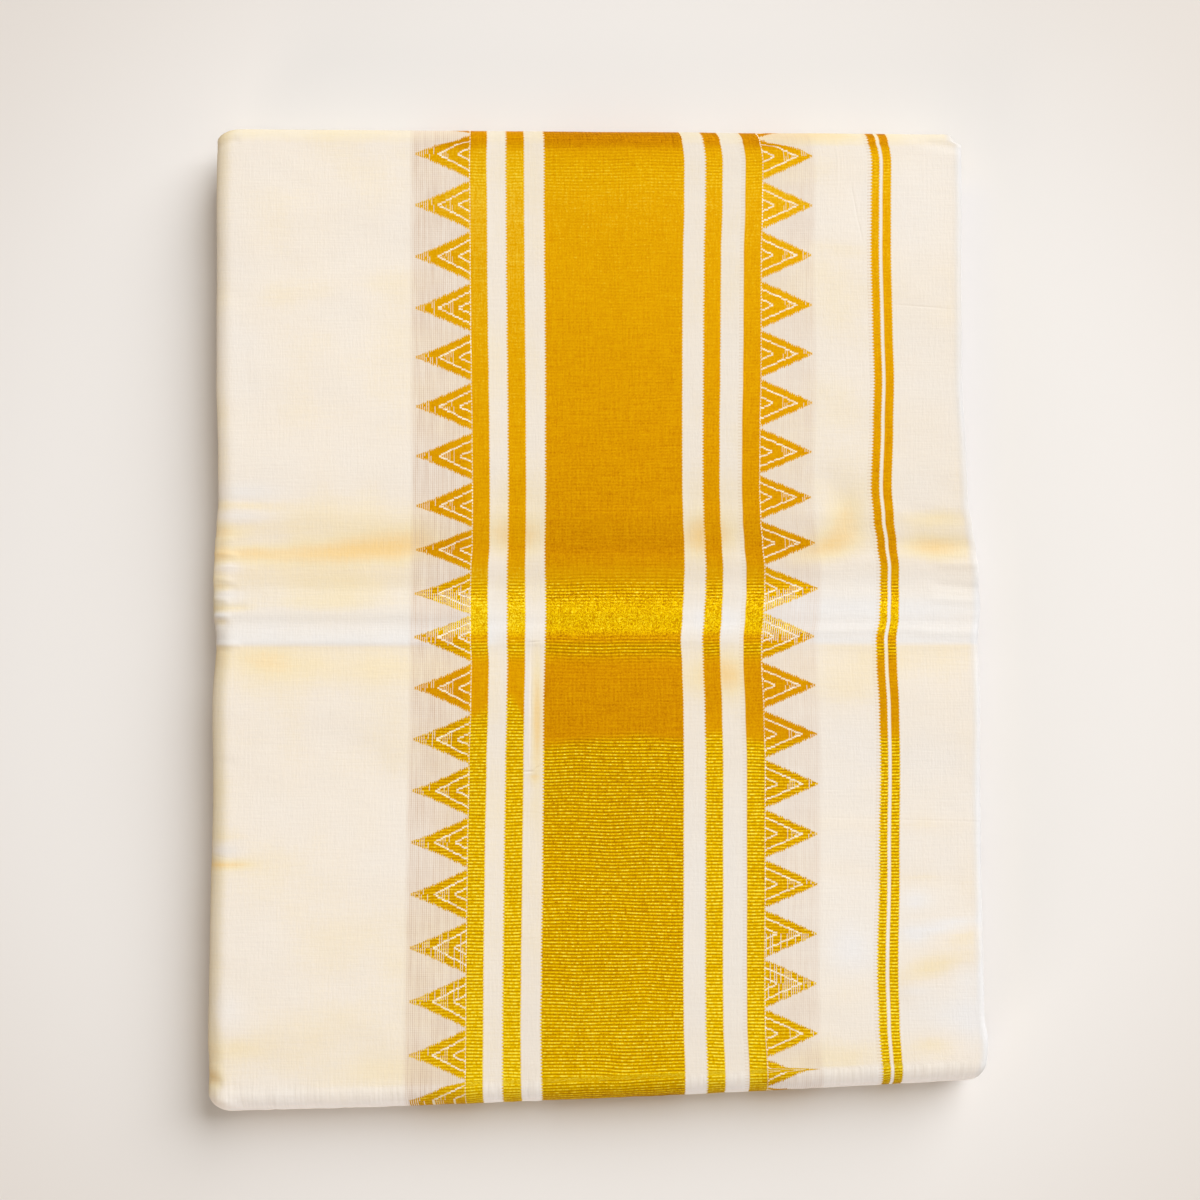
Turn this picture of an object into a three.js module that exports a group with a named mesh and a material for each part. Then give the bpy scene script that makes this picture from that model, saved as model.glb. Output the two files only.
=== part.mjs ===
// A kasavu saree folded into a flat pack: one long panel of cotton cloth, laid in leaves of one width,
// then folded in thirds with the middle third on top. It rests on a level surface.
//
// Millimetres, +Z up, +Y towards the back fold. The origin is the middle of the pack's underside.
//
// The pack is worked out straight and level first, by carrying a section (across X, and in depth below
// the outermost leaf) along the fold line in YZ. Every point then goes through settle(), which gives the
// soft cloth its sloping front, its uneven sides and the storage crease across the top.

import * as THREE from "three";

// Pack
const HALF_LENGTH = 199.5; // from the middle to the outside of the front and back turns
const HALF_WIDTH = 152; // before the sides are settled
const BOOK_PITCH = 6; // one third of the pack: about 18 leaves of cotton
const BOOK_COUNT = 3;
const PACK_HEIGHT = BOOK_PITCH * BOOK_COUNT;
const SELVEDGE_SETBACK = 15.5; // the lowest third ends this far inside the back turn

// Cloth
const WALL = 1.2; // the outermost leaf
const PARTING = 0.3; // between leaves and at seams between stretches
const BOOK_THICKNESS = 5.8; // leaves of one third, with air between it and the next third
const BOOK_AIR = 0.2;
const MIDDLE_SETBACK = 3; // the middle third ends this far behind the front turn's start
const HIDDEN_DEPTH = WALL + PARTING;

// Past the back turn the hidden leaves come out to the book's full thickness, from here on over this run.
const UNCOVER_START = 1;
const UNCOVER_RUN = 3;

// Turns
const FRONT_TURN_RADIUS = PACK_HEIGHT / 2; // round all three thirds
const BACK_TURN_RADIUS = BOOK_PITCH; // round the upper two thirds
const TURN_STEPS = 10;
const CORNER_INSET = 3; // the sides draw in where the cloth rolls over a turn

// Sides: how the outermost leaf rolls down over the edge of its book, and how far
const LEFT_SIDE = { turn: 3, lip: 3.4, steps: 4 };
const RIGHT_SIDE = { turn: 1.8, lip: 2.6, steps: 3 };

// Folded edges of the hidden leaves below each lip, from the wall's edge: inset and share of the
// depth that is left below the lip.
const LEFT_LEAVES = [
  { inset: 0.5, share: 0 },
  { inset: 0.2, share: 0.45 },
  { inset: 0.9, share: 1 },
];
const RIGHT_LEAVES = [
  { inset: 0.6, share: 0 },
  { inset: 0.3, share: 0.22 },
  { inset: 1.3, share: 0.46 },
  { inset: 0.7, share: 0.56 },
  { inset: 0.8, share: 0.78 },
  { inset: 1.9, share: 1 },
];

// The sides of the pack seen from above: x of each side at stations along y.
const SIDES = [
  { y: -190, left: -153.0, right: 154.6 },
  { y: -181, left: -152.8, right: 154.8 },
  { y: -172, left: -153.4, right: 155.4 },
  { y: -160, left: -153.4, right: 154.0 },
  { y: -116, left: -153.4, right: 153.7 },
  { y: -76, left: -153.0, right: 153.8 },
  { y: -36, left: -153.8, right: 154.1 },
  { y: -15, left: -152.6, right: 153.6 },
  { y: 1, left: -154.4, right: 155.2 },
  { y: 13, left: -154.8, right: 155.2 },
  { y: 24, left: -154.2, right: 154.0 },
  { y: 33, left: -153.6, right: 152.5 },
  { y: 44, left: -152.9, right: 150.8 },
  { y: 62, left: -153.2, right: 150.2 },
  { y: 95, left: -154.4, right: 149.0 },
  { y: 129, left: -154.8, right: 149.3 },
  { y: 176, left: -155.4, right: 150.0 },
  { y: 188, left: -155.4, right: 150.1 },
];
const SIDE_REACH = 90; // how far in from each side its unevenness fades out

// The top of the pack above or below its level height, along y: the storage crease and what it lifts.
const TOP = [
  { y: -200, lift: 0.4 },
  { y: -150, lift: 0.9 },
  { y: -75, lift: 0.2 },
  { y: -30, lift: 0.9 },
  { y: -16, lift: 0.6 },
  { y: -4, lift: -0.8 },
  { y: 9, lift: -2.6 },
  { y: 22, lift: -1.7 },
  { y: 40, lift: -0.5 },
  { y: 60, lift: 0 },
  { y: 200, lift: 0 },
];

// The front fold isn't square to the sides: it runs further back towards the right.
const FRONT_SLOPE = 0.0418; // back per unit to the right
const FRONT_MID = 4.2; // how far back its middle lies from square
const FRONT_BOW = 1.3; // its corners lie back from the straight line by this
const FRONT_SLOPE_START = 90; // y where the slope begins
const BACK_SLOPE = -0.0075;
const BACK_MID = -2.1;

const COLOURS = { cotton: 0xf3eadb, shade: 0xe6d6bd, selvedge: 0xeadfc9 };

// Smooth value of a table's column at y, with rows in order of y.
function tableValue(rows, column, y) {
  const last = rows.length - 1;
  if (y <= rows[0].y) return rows[0][column];
  if (y >= rows[last].y) return rows[last][column];
  const next = rows.findIndex((row) => row.y > y);
  const [low, high] = [rows[next - 1], rows[next]];
  const t = THREE.MathUtils.smoothstep(y, low.y, high.y);
  return THREE.MathUtils.lerp(low[column], high[column], t);
}

// Where a point of the straight, level pack lies in the soft one. The underside stays flat.
function settle([x, y, z]) {
  const front = THREE.MathUtils.smoothstep(-y, -FRONT_SLOPE_START, HALF_LENGTH);
  const back = THREE.MathUtils.smoothstep(y, 0, HALF_LENGTH);
  const frontShift = FRONT_MID + FRONT_SLOPE * x + FRONT_BOW * (x / HALF_WIDTH) ** 2;
  const settledY = y + front * frontShift + back * (BACK_MID + BACK_SLOPE * x);
  const side = x < 0 ? "left" : "right";
  const reach = THREE.MathUtils.smoothstep(Math.abs(x), HALF_WIDTH - SIDE_REACH, HALF_WIDTH);
  const outward = Math.abs(tableValue(SIDES, side, settledY)) - HALF_WIDTH;
  const lift = tableValue(TOP, "lift", settledY) * (z / PACK_HEIGHT) ** 2;
  return [x + Math.sign(x) * outward * reach, settledY, z + lift];
}

// One stop on the fold line: a place on the pack's outer face, the way out of it, and how far the sides
// draw in there.
function stop(y, z, outY, outZ, inset = 0) {
  return { y, z, outY, outZ, inset };
}

// Stops round half a turn, from the underside up for the front and from the top down for the back.
function turnStops(centreY, centreZ, radius, towards) {
  const stops = [];
  for (let i = 0; i <= TURN_STEPS; i += 1) {
    const angle = Math.PI * (i / TURN_STEPS - 0.5) * -towards;
    const outY = towards * Math.cos(angle);
    const outZ = Math.sin(angle);
    const inset = CORNER_INSET * Math.cos(angle) ** 2;
    stops.push(stop(centreY + radius * outY, centreZ + radius * outZ, outY, outZ, inset));
  }
  return stops;
}

// Level stops between two ends, at the named stations along y that lie between them.
function levelStops(stations, from, to, z, outZ) {
  const [low, high] = [Math.min(from, to), Math.max(from, to)];
  const between = stations.filter((y) => y > low + 1 && y < high - 1);
  const ordered = [low, ...between, high];
  if (from > to) ordered.reverse();
  return ordered.map((y) => stop(y, z, 0, outZ));
}

const TOP_STATIONS = [
  -182, -174, -165, -140, -115, -90, -75, -60, -45, -37, -30, -23, -16, -10, -4, 2, 8, 13, 18, 24, 33, 41, 51,
  61, 78, 95, 129, 152, 176,
];
const UNDER_STATIONS = [-182, -174, -165, -116, -76, -37, -15, 1, 13, 24, 33, 44, 62, 95, 129, 152];

const frontY = -(HALF_LENGTH - FRONT_TURN_RADIUS);
const backY = HALF_LENGTH - BACK_TURN_RADIUS;
const selvedgeY = HALF_LENGTH - SELVEDGE_SETBACK;
const backTurnZ = PACK_HEIGHT - BACK_TURN_RADIUS;

const underStops = levelStops(UNDER_STATIONS, selvedgeY, frontY, 0, -1);
const frontStops = turnStops(frontY, FRONT_TURN_RADIUS, FRONT_TURN_RADIUS, -1);
const topStops = levelStops(TOP_STATIONS, frontY, backY, PACK_HEIGHT, 1);
const backStops = turnStops(backY, backTurnZ, BACK_TURN_RADIUS, 1);
const middleStops = levelStops(UNDER_STATIONS, backY, frontY + MIDDLE_SETBACK, BOOK_PITCH, -1);

// Places across the pack where every section has a point, so that leaves that lie together bend together.
const ACROSS = [-120, -85, -45, 0, 45, 85, 120];

// A side's turned edge from its lip up to the level part, as points of inset from the edge and depth.
function sideCurve(side, margin) {
  const radius = side.turn - margin;
  const points = [{ inset: margin, depth: side.lip }];
  for (let i = 0; i <= side.steps; i += 1) {
    const angle = (Math.PI / 2) * (1 - i / side.steps);
    points.push({
      inset: margin + radius * (1 - Math.sin(angle)),
      depth: margin + radius * (1 - Math.cos(angle)),
    });
  }
  return points;
}

const atLeft = ({ inset, depth }) => ({ x: inset - HALF_WIDTH, depth });
const atRight = ({ inset, depth }) => ({ x: HALF_WIDTH - inset, depth });

// The line of a leaf's face from the left lip over the level part to the right lip.
function faceLine(margin) {
  const left = sideCurve(LEFT_SIDE, margin).map(atLeft);
  const level = ACROSS.map((x) => ({ x, depth: margin }));
  const right = sideCurve(RIGHT_SIDE, margin).map(atRight).reverse();
  return [...left, ...level, ...right];
}

// The outermost leaf's section: its face, and the same line one wall further in.
function wallSection() {
  return [...faceLine(0), ...faceLine(WALL).reverse()];
}

// Edges of the hidden leaves between a lip and the inside of the book.
function leafEdges(rows, lip) {
  const start = lip + PARTING;
  return rows.map(({ inset, share }) => ({
    inset,
    depth: THREE.MathUtils.lerp(start, BOOK_THICKNESS, share),
  }));
}

// The hidden leaves' section: under the outermost leaf, out to the sides below its lips, and back.
function hiddenSection() {
  const face = faceLine(HIDDEN_DEPTH);
  face[0].depth = LEFT_SIDE.lip + PARTING;
  face[face.length - 1].depth = RIGHT_SIDE.lip + PARTING;
  const right = leafEdges(RIGHT_LEAVES, RIGHT_SIDE.lip).map(atRight);
  const inside = ACROSS.map((x) => ({ x, depth: BOOK_THICKNESS })).reverse();
  const left = leafEdges(LEFT_LEAVES, LEFT_SIDE.lip).map(atLeft).reverse();
  return [...face, ...right, ...inside, ...left];
}

// The same section where nothing covers it: its depths run from the book's air to its full thickness.
function uncovered(section) {
  const scale = (BOOK_THICKNESS - BOOK_AIR) / (BOOK_THICKNESS - HIDDEN_DEPTH);
  return section.map(({ x, depth }) => ({ x, depth: BOOK_AIR + (depth - HIDDEN_DEPTH) * scale }));
}

// One ring of points: a section set at a stop of the fold line, then settled.
function ring(section, at) {
  return section.map(({ x, depth }) => {
    const drawn = x * (1 - at.inset / HALF_WIDTH);
    return settle([drawn, at.y - at.outY * depth, at.z - at.outZ * depth]);
  });
}

// End cap of a wall: a strip between its face and the same places one wall further in.
function wallCap(count) {
  const triangles = [];
  for (let i = 0; i + 1 < count / 2; i += 1) {
    const [facing, next] = [count - 1 - i, count - 2 - i];
    triangles.push([i, i + 1, next], [i, next, facing]);
  }
  return triangles;
}

// End cap of any other section, with its triangles turning the way the section runs.
function flatCap(section) {
  const contour = section.map(({ x, depth }) => new THREE.Vector2(x, depth));
  const triangles = THREE.ShapeUtils.triangulateShape(contour, []);
  return triangles.map((corners) => [...corners].sort((a, b) => a - b));
}

// A closed body through rings of equal length, capped at both ends, with its faces pointing out.
function sweptBody(rings, cap) {
  const count = rings[0].length;
  const indices = [];
  for (let i = 0; i + 1 < rings.length; i += 1) {
    for (let j = 0; j < count; j += 1) {
      const [a, b] = [i * count + j, i * count + ((j + 1) % count)];
      indices.push(a, b, b + count, a, b + count, a + count);
    }
  }
  const lastRing = (rings.length - 1) * count;
  for (const [a, b, c] of cap) {
    indices.push(a, c, b);
    indices.push(lastRing + a, lastRing + b, lastRing + c);
  }
  const positions = rings.flat(2);
  const geometry = new THREE.BufferGeometry();
  geometry.setAttribute("position", new THREE.Float32BufferAttribute(positions, 3));
  geometry.setIndex(signedVolume(positions, indices) < 0 ? flipped(indices) : indices);
  geometry.computeVertexNormals();
  return geometry;
}

function signedVolume(positions, indices) {
  const corner = (index) => new THREE.Vector3().fromArray(positions, index * 3);
  let total = 0;
  for (let i = 0; i < indices.length; i += 3) {
    const [a, b, c] = [corner(indices[i]), corner(indices[i + 1]), corner(indices[i + 2])];
    total += a.dot(b.cross(c)) / 6;
  }
  return total;
}

function flipped(indices) {
  const turned = [...indices];
  for (let i = 0; i < turned.length; i += 3) {
    [turned[i + 1], turned[i + 2]] = [turned[i + 2], turned[i + 1]];
  }
  return turned;
}

// Stops drawn back by half a parting at each end, so that two stretches never touch at their seam.
function partedStops(stops) {
  const moved = stops.map((each) => ({ ...each }));
  const drawIn = (end, neighbour) => {
    const [dy, dz] = [neighbour.y - end.y, neighbour.z - end.z];
    const scale = PARTING / 2 / Math.hypot(dy, dz);
    end.y += dy * scale;
    end.z += dz * scale;
  };
  drawIn(moved[0], stops[1]);
  drawIn(moved[moved.length - 1], stops[stops.length - 2]);
  return moved;
}

function clothMesh(name, geometry, colour) {
  const material = new THREE.MeshStandardMaterial({ color: colour, roughness: 0.9, metalness: 0 });
  const mesh = new THREE.Mesh(geometry, material);
  mesh.name = name;
  return mesh;
}

// One visible stretch of the outermost leaf.
function outerStretch(name, stops, colour) {
  const section = wallSection();
  const rings = partedStops(stops).map((at) => ring(section, at));
  return clothMesh(name, sweptBody(rings, wallCap(section.length)), colour);
}

// Every inner leaf as one rounded body that follows the whole fold, from the lowest third's selvedge
// round the front, over the top, round the back and forward again as the middle third.
function hiddenLayers() {
  const covered = hiddenSection();
  const open = uncovered(covered);
  const outer = [...underStops, ...frontStops.slice(1), ...topStops.slice(1), ...backStops.slice(1)];
  const lastCovered = { ...middleStops[0], y: middleStops[0].y - UNCOVER_START };
  const firstOpen = { ...middleStops[0], y: lastCovered.y - UNCOVER_RUN };
  const rings = [
    ...outer.map((at) => ring(covered, at)),
    ring(covered, lastCovered),
    ring(open, firstOpen),
    ...middleStops.slice(1).map((at) => ring(open, at)),
  ];
  return clothMesh("hidden_layers", sweptBody(rings, flatCap(covered)), COLOURS.selvedge);
}

const saree = new THREE.Group();
saree.name = "folded_saree";
const stretches = new THREE.Group();
stretches.add(
  outerStretch("face_stretch", topStops, COLOURS.cotton),
  outerStretch("front_turn", frontStops, COLOURS.shade),
  outerStretch("back_turn", backStops, COLOURS.shade),
  outerStretch("under_stretch", underStops, COLOURS.cotton),
  hiddenLayers(),
);
const middle = new THREE.Box3().setFromObject(stretches).getCenter(new THREE.Vector3());
stretches.position.set(-middle.x, -middle.y, 0);
saree.add(stretches);

export default saree;
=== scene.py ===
"""Looks of a folded kasavu saree: handloom cotton with a zari pallu, folded in thirds to a flat pack.

The pack is a C-shaped fold. One outermost leaf shows on the top and round the front and back turns, a
second shows below, and the folded edges of the inner leaves show at the sides. Everything is worked out
in millimetres on the straight pack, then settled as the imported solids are, and built in metres.
"""
import logging
import math
from dataclasses import dataclass, field
from enum import Enum
from typing import ClassVar, NamedTuple

import bpy
import numpy as np
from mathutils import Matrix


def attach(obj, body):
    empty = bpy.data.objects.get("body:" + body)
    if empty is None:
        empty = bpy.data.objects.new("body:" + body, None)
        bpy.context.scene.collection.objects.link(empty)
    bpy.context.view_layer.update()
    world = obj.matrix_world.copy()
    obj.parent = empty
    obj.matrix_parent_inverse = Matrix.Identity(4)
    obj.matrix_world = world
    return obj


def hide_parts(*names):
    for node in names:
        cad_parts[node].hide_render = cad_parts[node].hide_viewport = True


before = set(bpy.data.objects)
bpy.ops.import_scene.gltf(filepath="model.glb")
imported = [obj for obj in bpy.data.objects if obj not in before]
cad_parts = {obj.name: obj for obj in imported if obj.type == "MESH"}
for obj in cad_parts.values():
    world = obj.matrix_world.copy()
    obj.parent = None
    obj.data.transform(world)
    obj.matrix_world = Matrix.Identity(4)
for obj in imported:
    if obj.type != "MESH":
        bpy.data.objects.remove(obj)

Array = np.ndarray
Table = tuple[tuple[float, ...], ...]
Socket = bpy.types.NodeSocket

MM = 0.001
BODY = "root"

log = logging.getLogger("saree")


class Slot(Enum):
    """Material slots of the record."""

    PALLU = "pallu_cloth"
    COTTON = "body_cotton"


class Side(Enum):
    """The two sides of the pack, with the sign of x there."""

    LEFT = -1
    RIGHT = 1


class CreaseForm(Enum):
    """Forms of a crease in the cloth."""

    SOFT = "soft"  # a rounded trough or ridge
    LAP = "lap"  # a short step up that fades slowly behind it


# ---------------------------------------------------------------------------------------------------
# Curves, noise and grids
# ---------------------------------------------------------------------------------------------------


def smoothstep(value: Array, low: float, high: float) -> Array:
    """A smooth rise from 0 at low to 1 at high: t squared times (3 - 2t)."""
    t = np.clip((value - low) / (high - low), 0.0, 1.0)
    return t * t * (3.0 - 2.0 * t)


def bell(value: Array, centre: Array | float, half: float) -> Array:
    """A bell round a centre: the exponential of minus the squared distance in half widths."""
    return np.exp(-(((value - centre) / half) ** 2))


def smooth_table(rows: Array, column: int, at: Array) -> Array:
    """A table's column between its rows, blended by smoothstep.

    Args:
        rows: one row per station, in order of its first column.
        column: the column to read.
        at: where to read it.

    Returns:
        The column's value at each place.
    """
    stations, values = rows[:, 0], rows[:, column]
    place = np.interp(at, stations, np.arange(len(stations)))
    low = np.clip(np.floor(place).astype(int), 0, len(stations) - 2)
    blend = smoothstep(place - low, 0.0, 1.0)
    return values[low] * (1.0 - blend) + values[low + 1] * blend


def soft_noise(x: Array, y: Array, cell: float, seed: int) -> Array:
    """Smooth random heights: random corners of square cells, blended between by smoothstep.

    Args:
        x: first coordinate.
        y: second coordinate.
        cell: side of a cell in the same unit.
        seed: chooses the pattern.

    Returns:
        Heights from -1 to 1.
    """
    count = 64
    corners = np.random.default_rng(seed).uniform(-1.0, 1.0, (count, count))
    gx, gy = x / cell + count / 2, y / cell + count / 2
    ix, iy = np.floor(gx).astype(int), np.floor(gy).astype(int)
    fx, fy = smoothstep(gx - ix, 0.0, 1.0), smoothstep(gy - iy, 0.0, 1.0)
    ix0, iy0, ix1, iy1 = ix % count, iy % count, (ix + 1) % count, (iy + 1) % count
    near = corners[ix0, iy0] * (1.0 - fx) + corners[ix1, iy0] * fx
    far = corners[ix0, iy1] * (1.0 - fx) + corners[ix1, iy1] * fx
    return near * (1.0 - fy) + far * fy


def stations(*stretches: tuple[float, float, float]) -> Array:
    """Places along a line, in order, for stretches of (start, end, spacing) one after another."""
    parts = [np.linspace(a, b, max(2, round(abs(b - a) / step) + 1))[:-1] for a, b, step in stretches]
    return np.append(np.concatenate(parts), stretches[-1][1])


def grid_normals(grid: Array) -> Array:
    """Unit normals of a grid of points: the cross product of its two directions."""
    cross = np.cross(np.gradient(grid, axis=1), np.gradient(grid, axis=0))
    return cross / np.linalg.norm(cross, axis=2, keepdims=True)


def grid_normals_like(grid: Array, guide: Array) -> Array:
    """A grid's unit normals, turned to the side that the guide's normals point to."""
    normals = grid_normals(grid)
    return np.where(np.sum(normals * guide, axis=2, keepdims=True) < 0, -normals, normals)


def slab_faces(rows: int, columns: int) -> Array:
    """Quads of a closed slab between two grids: both faces and the four edges.

    Args:
        rows: rows of each grid.
        columns: columns of each grid.

    Returns:
        Vertex indices, shaped (faces, 4). The second grid's vertices follow the first's.
    """
    index = np.arange(rows * columns).reshape(rows, columns)
    outer = np.stack([index[:-1, :-1], index[1:, :-1], index[1:, 1:], index[:-1, 1:]], axis=-1).reshape(-1, 4)
    inner = outer[:, ::-1] + rows * columns
    rim = np.concatenate([index[0, :-1], index[:-1, -1], index[-1, :0:-1], index[:0:-1, 0]])
    following = np.roll(rim, -1)
    edge = np.stack([rim, following, following + rows * columns, rim + rows * columns], axis=-1)
    return np.concatenate([outer, inner, edge])


def slab_volume(points: Array, faces: Array) -> float:
    """Signed volume of a closed mesh of quads: the sum of its triangles' triple products over six.

    Args:
        points: the mesh's vertices.
        faces: indices of each quad's four corners.

    Returns:
        The volume, under 0 where the faces point in.
    """
    a, b, c, d = (points[faces[:, k]] for k in range(4))
    first = np.einsum("ij,ij->i", a, np.cross(b, c)).sum()
    second = np.einsum("ij,ij->i", a, np.cross(c, d)).sum()
    return (first + second) / 6.0


def slab_object(
    name: str,
    outer: Array,
    inner: Array,
    material: bpy.types.Material,
    attributes: dict[str, Array] | None = None,
) -> bpy.types.Object:
    """A closed slab between two grids of points in millimetres, with its faces pointing out.

    Args:
        name: the piece's name.
        outer: points of the outer face, shaped (rows, columns, 3).
        inner: points of the inner face, of the same shape.
        material: its finish.
        attributes: vectors for each point of the outer face, which the inner face repeats.

    Returns:
        The object, at the origin, in metres.
    """
    rows, columns = outer.shape[:2]
    points = np.concatenate([outer.reshape(-1, 3), inner.reshape(-1, 3)]) * MM
    faces = slab_faces(rows, columns)
    if slab_volume(points, faces) < 0:
        faces = faces[:, ::-1]
    mesh = bpy.data.meshes.new(name)
    mesh.from_pydata(points.tolist(), [], faces.tolist())
    for key, values in (attributes or {}).items():
        layer = mesh.attributes.new(key, "FLOAT_VECTOR", "POINT")
        doubled = np.concatenate([values.reshape(-1, 3)] * 2).astype(np.float32)
        layer.data.foreach_set("vector", doubled.ravel())
    mesh.materials.append(material)
    mesh.shade_smooth()
    mesh.update()
    piece = bpy.data.objects.new(name, mesh)
    bpy.context.scene.collection.objects.link(piece)
    return piece


# ---------------------------------------------------------------------------------------------------
# Form of the pack
# ---------------------------------------------------------------------------------------------------


class Stops(NamedTuple):
    """Places on the fold line: y and z, the way out of the pack, and how far the two sides draw in."""

    y: Array
    z: Array
    out_y: Array
    out_z: Array
    inset: Array
    notch: Array


class Section(NamedTuple):
    """Points across the pack: x, depth below the outermost face, and length along the cloth from x = 0."""

    x: Array
    depth: Array
    across: Array


@dataclass(frozen=True)
class PackForm:
    """Sizes of the folded pack in millimetres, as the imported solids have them."""

    half_length: float = 199.5
    half_width: float = 152.0
    book_pitch: float = 6.0  # one third of the pack, about 18 leaves
    selvedge_setback: float = 15.5
    corner_inset: float = 3.0
    centre_x: float = 0.04  # from the straight pack's middle to the middle of the settled one
    centre_y: float = 0.855
    side_reach: float = 90.0
    front_slope: float = 0.0418
    front_mid: float = 4.2
    front_bow: float = 1.3
    front_slope_start: float = 90.0
    back_slope: float = -0.0075
    back_mid: float = -2.1
    # y, x of the left side, x of the right side
    sides: Table = (
        (-190, -153.0, 154.6), (-181, -152.8, 154.8), (-172, -153.4, 155.4), (-160, -153.4, 154.0),
        (-116, -153.4, 153.7), (-76, -153.0, 153.8), (-36, -153.8, 154.1), (-15, -152.6, 153.6),
        (1, -154.4, 155.2), (13, -154.8, 155.2), (24, -154.2, 154.0), (33, -153.6, 152.5),
        (44, -152.9, 150.8), (62, -153.2, 150.2), (95, -154.4, 149.0), (129, -154.8, 149.3),
        (176, -155.4, 150.0), (188, -155.4, 150.1),
    )
    # y, lift of the top: the storage crease
    top: Table = (
        (-200, 0.4), (-150, 0.9), (-75, 0.2), (-30, 0.9), (-16, 0.6), (-4, -0.8), (9, -2.6), (22, -1.7),
        (40, -0.5), (60, 0.0), (200, 0.0),
    )

    @property
    def height(self) -> float:
        """Height of the three thirds."""
        return 3 * self.book_pitch

    @property
    def front_radius(self) -> float:
        """Radius of the front turn, round all three thirds."""
        return self.height / 2

    @property
    def back_radius(self) -> float:
        """Radius of the back turn, round the upper two thirds."""
        return self.book_pitch

    @property
    def front_y(self) -> float:
        """Where the front turn starts."""
        return self.front_radius - self.half_length

    @property
    def back_y(self) -> float:
        """Where the back turn starts."""
        return self.half_length - self.back_radius

    @property
    def top_start(self) -> float:
        """Length along the fold line where the top starts."""
        return math.pi * self.front_radius

    @property
    def top_end(self) -> float:
        """Length along the fold line where the top ends."""
        return self.top_start + self.back_y - self.front_y

    @property
    def back_end(self) -> float:
        """Length along the fold line where the back turn ends."""
        return self.top_end + math.pi * self.back_radius

    @property
    def selvedge(self) -> float:
        """Length along the fold line, under 0, where the leaf below the pack ends."""
        return -(self.half_length - self.selvedge_setback - self.front_y)

    @property
    def middle_end(self) -> float:
        """Length along the fold line where the middle third's leaves end."""
        return self.back_end + self.back_y - self.front_y - 3

    def fold_line(self, s: Array) -> Stops:
        """The outermost face's line in YZ: level below, half a turn at the front, level, half a turn back.

        Args:
            s: length along the line, 0 where the front turn leaves the underside.

        Returns:
            The stops at those lengths.
        """
        front = np.clip(s / self.front_radius, 0.0, math.pi)
        on_top = np.clip(s - self.top_start, 0.0, self.top_end - self.top_start)
        back = np.clip((s - self.top_end) / self.back_radius, 0.0, math.pi)
        before = np.minimum(s, 0.0)
        past = np.maximum(s - self.back_end, 0.0)
        y = self.front_y - before - self.front_radius * np.sin(front) + on_top
        y = y + self.back_radius * np.sin(back) - past
        z = self.front_radius * (1.0 - np.cos(front)) - self.back_radius * (1.0 - np.cos(back))
        inset = self.corner_inset * (np.sin(front) ** 2 + np.sin(back) ** 2)
        notch = self.corner_inset * (np.sin(front) ** 2 + smoothstep(np.sin(back), 0.02, 0.30))
        return Stops(y, z, np.sin(back) - np.sin(front), -np.cos(front) * np.cos(back), inset, notch)

    def settle(self, x: Array, y: Array, z: Array) -> Array:
        """Where points of the straight pack lie in the soft one, about its own middle.

        Args:
            x: across the straight pack.
            y: along it.
            z: up from its underside.

        Returns:
            Points shaped like x with 3 coordinates each.
        """
        front = smoothstep(-y, -self.front_slope_start, self.half_length)
        back = smoothstep(y, 0.0, self.half_length)
        bow = self.front_bow * (x / self.half_width) ** 2
        settled = y + front * (self.front_mid + self.front_slope * x + bow)
        settled = settled + back * (self.back_mid + self.back_slope * x)
        sides = np.array(self.sides)
        edge = np.where(x < 0, -smooth_table(sides, 1, settled), smooth_table(sides, 2, settled))
        reach = smoothstep(np.abs(x), self.half_width - self.side_reach, self.half_width)
        lift = smooth_table(np.array(self.top), 1, settled) * (z / self.height) ** 2
        settled_x = x + np.sign(x) * (edge - self.half_width) * reach
        return np.stack([settled_x + self.centre_x, settled + self.centre_y, z + lift], axis=-1)

    def place(self, s: Array, x: Array, depth: Array) -> Array:
        """Settled points from places along the fold line, across it and below the outermost face.

        Args:
            s: length along the fold line.
            x: across the straight pack.
            depth: below the outermost face.

        Returns:
            Points in the part's frame, in millimetres.
        """
        at = self.fold_line(s)
        drawn = x * (1.0 - np.where(x < 0, at.inset, at.notch) / self.half_width)
        return self.settle(drawn, at.y - at.out_y * depth, at.z - at.out_z * depth)


PACK = PackForm()


@dataclass(frozen=True)
class SideTurn:
    """How an outermost leaf rolls down over the side of its third, and tucks in below."""

    radius: float  # its depth
    spread: float  # how far in from the side it starts
    lip: float
    steps: int
    tuck: float = 1.5

    def line(self, half_width: float) -> tuple[Array, Array]:
        """The roll's distance from the middle and its depth, from the tuck up to the level part.

        Args:
            half_width: from the middle to the side.

        Returns:
            Distances and depths.
        """
        angle = np.linspace(math.pi / 2, 0.0, self.steps + 1)
        arc_inset = self.spread * (1.0 - np.sin(angle))
        arc_depth = self.radius * (1.0 - np.cos(angle))
        inset = np.concatenate([[self.tuck, 0.5, 0.1], arc_inset])
        depth = np.concatenate([[self.lip + 0.1, self.lip, self.lip - 0.3], arc_depth])
        return half_width - inset, depth


LEFT_TURN = SideTurn(radius=3.0, spread=6.5, lip=3.4, steps=11)
RIGHT_TURN = SideTurn(radius=1.8, spread=2.6, lip=2.6, steps=6)


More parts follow.
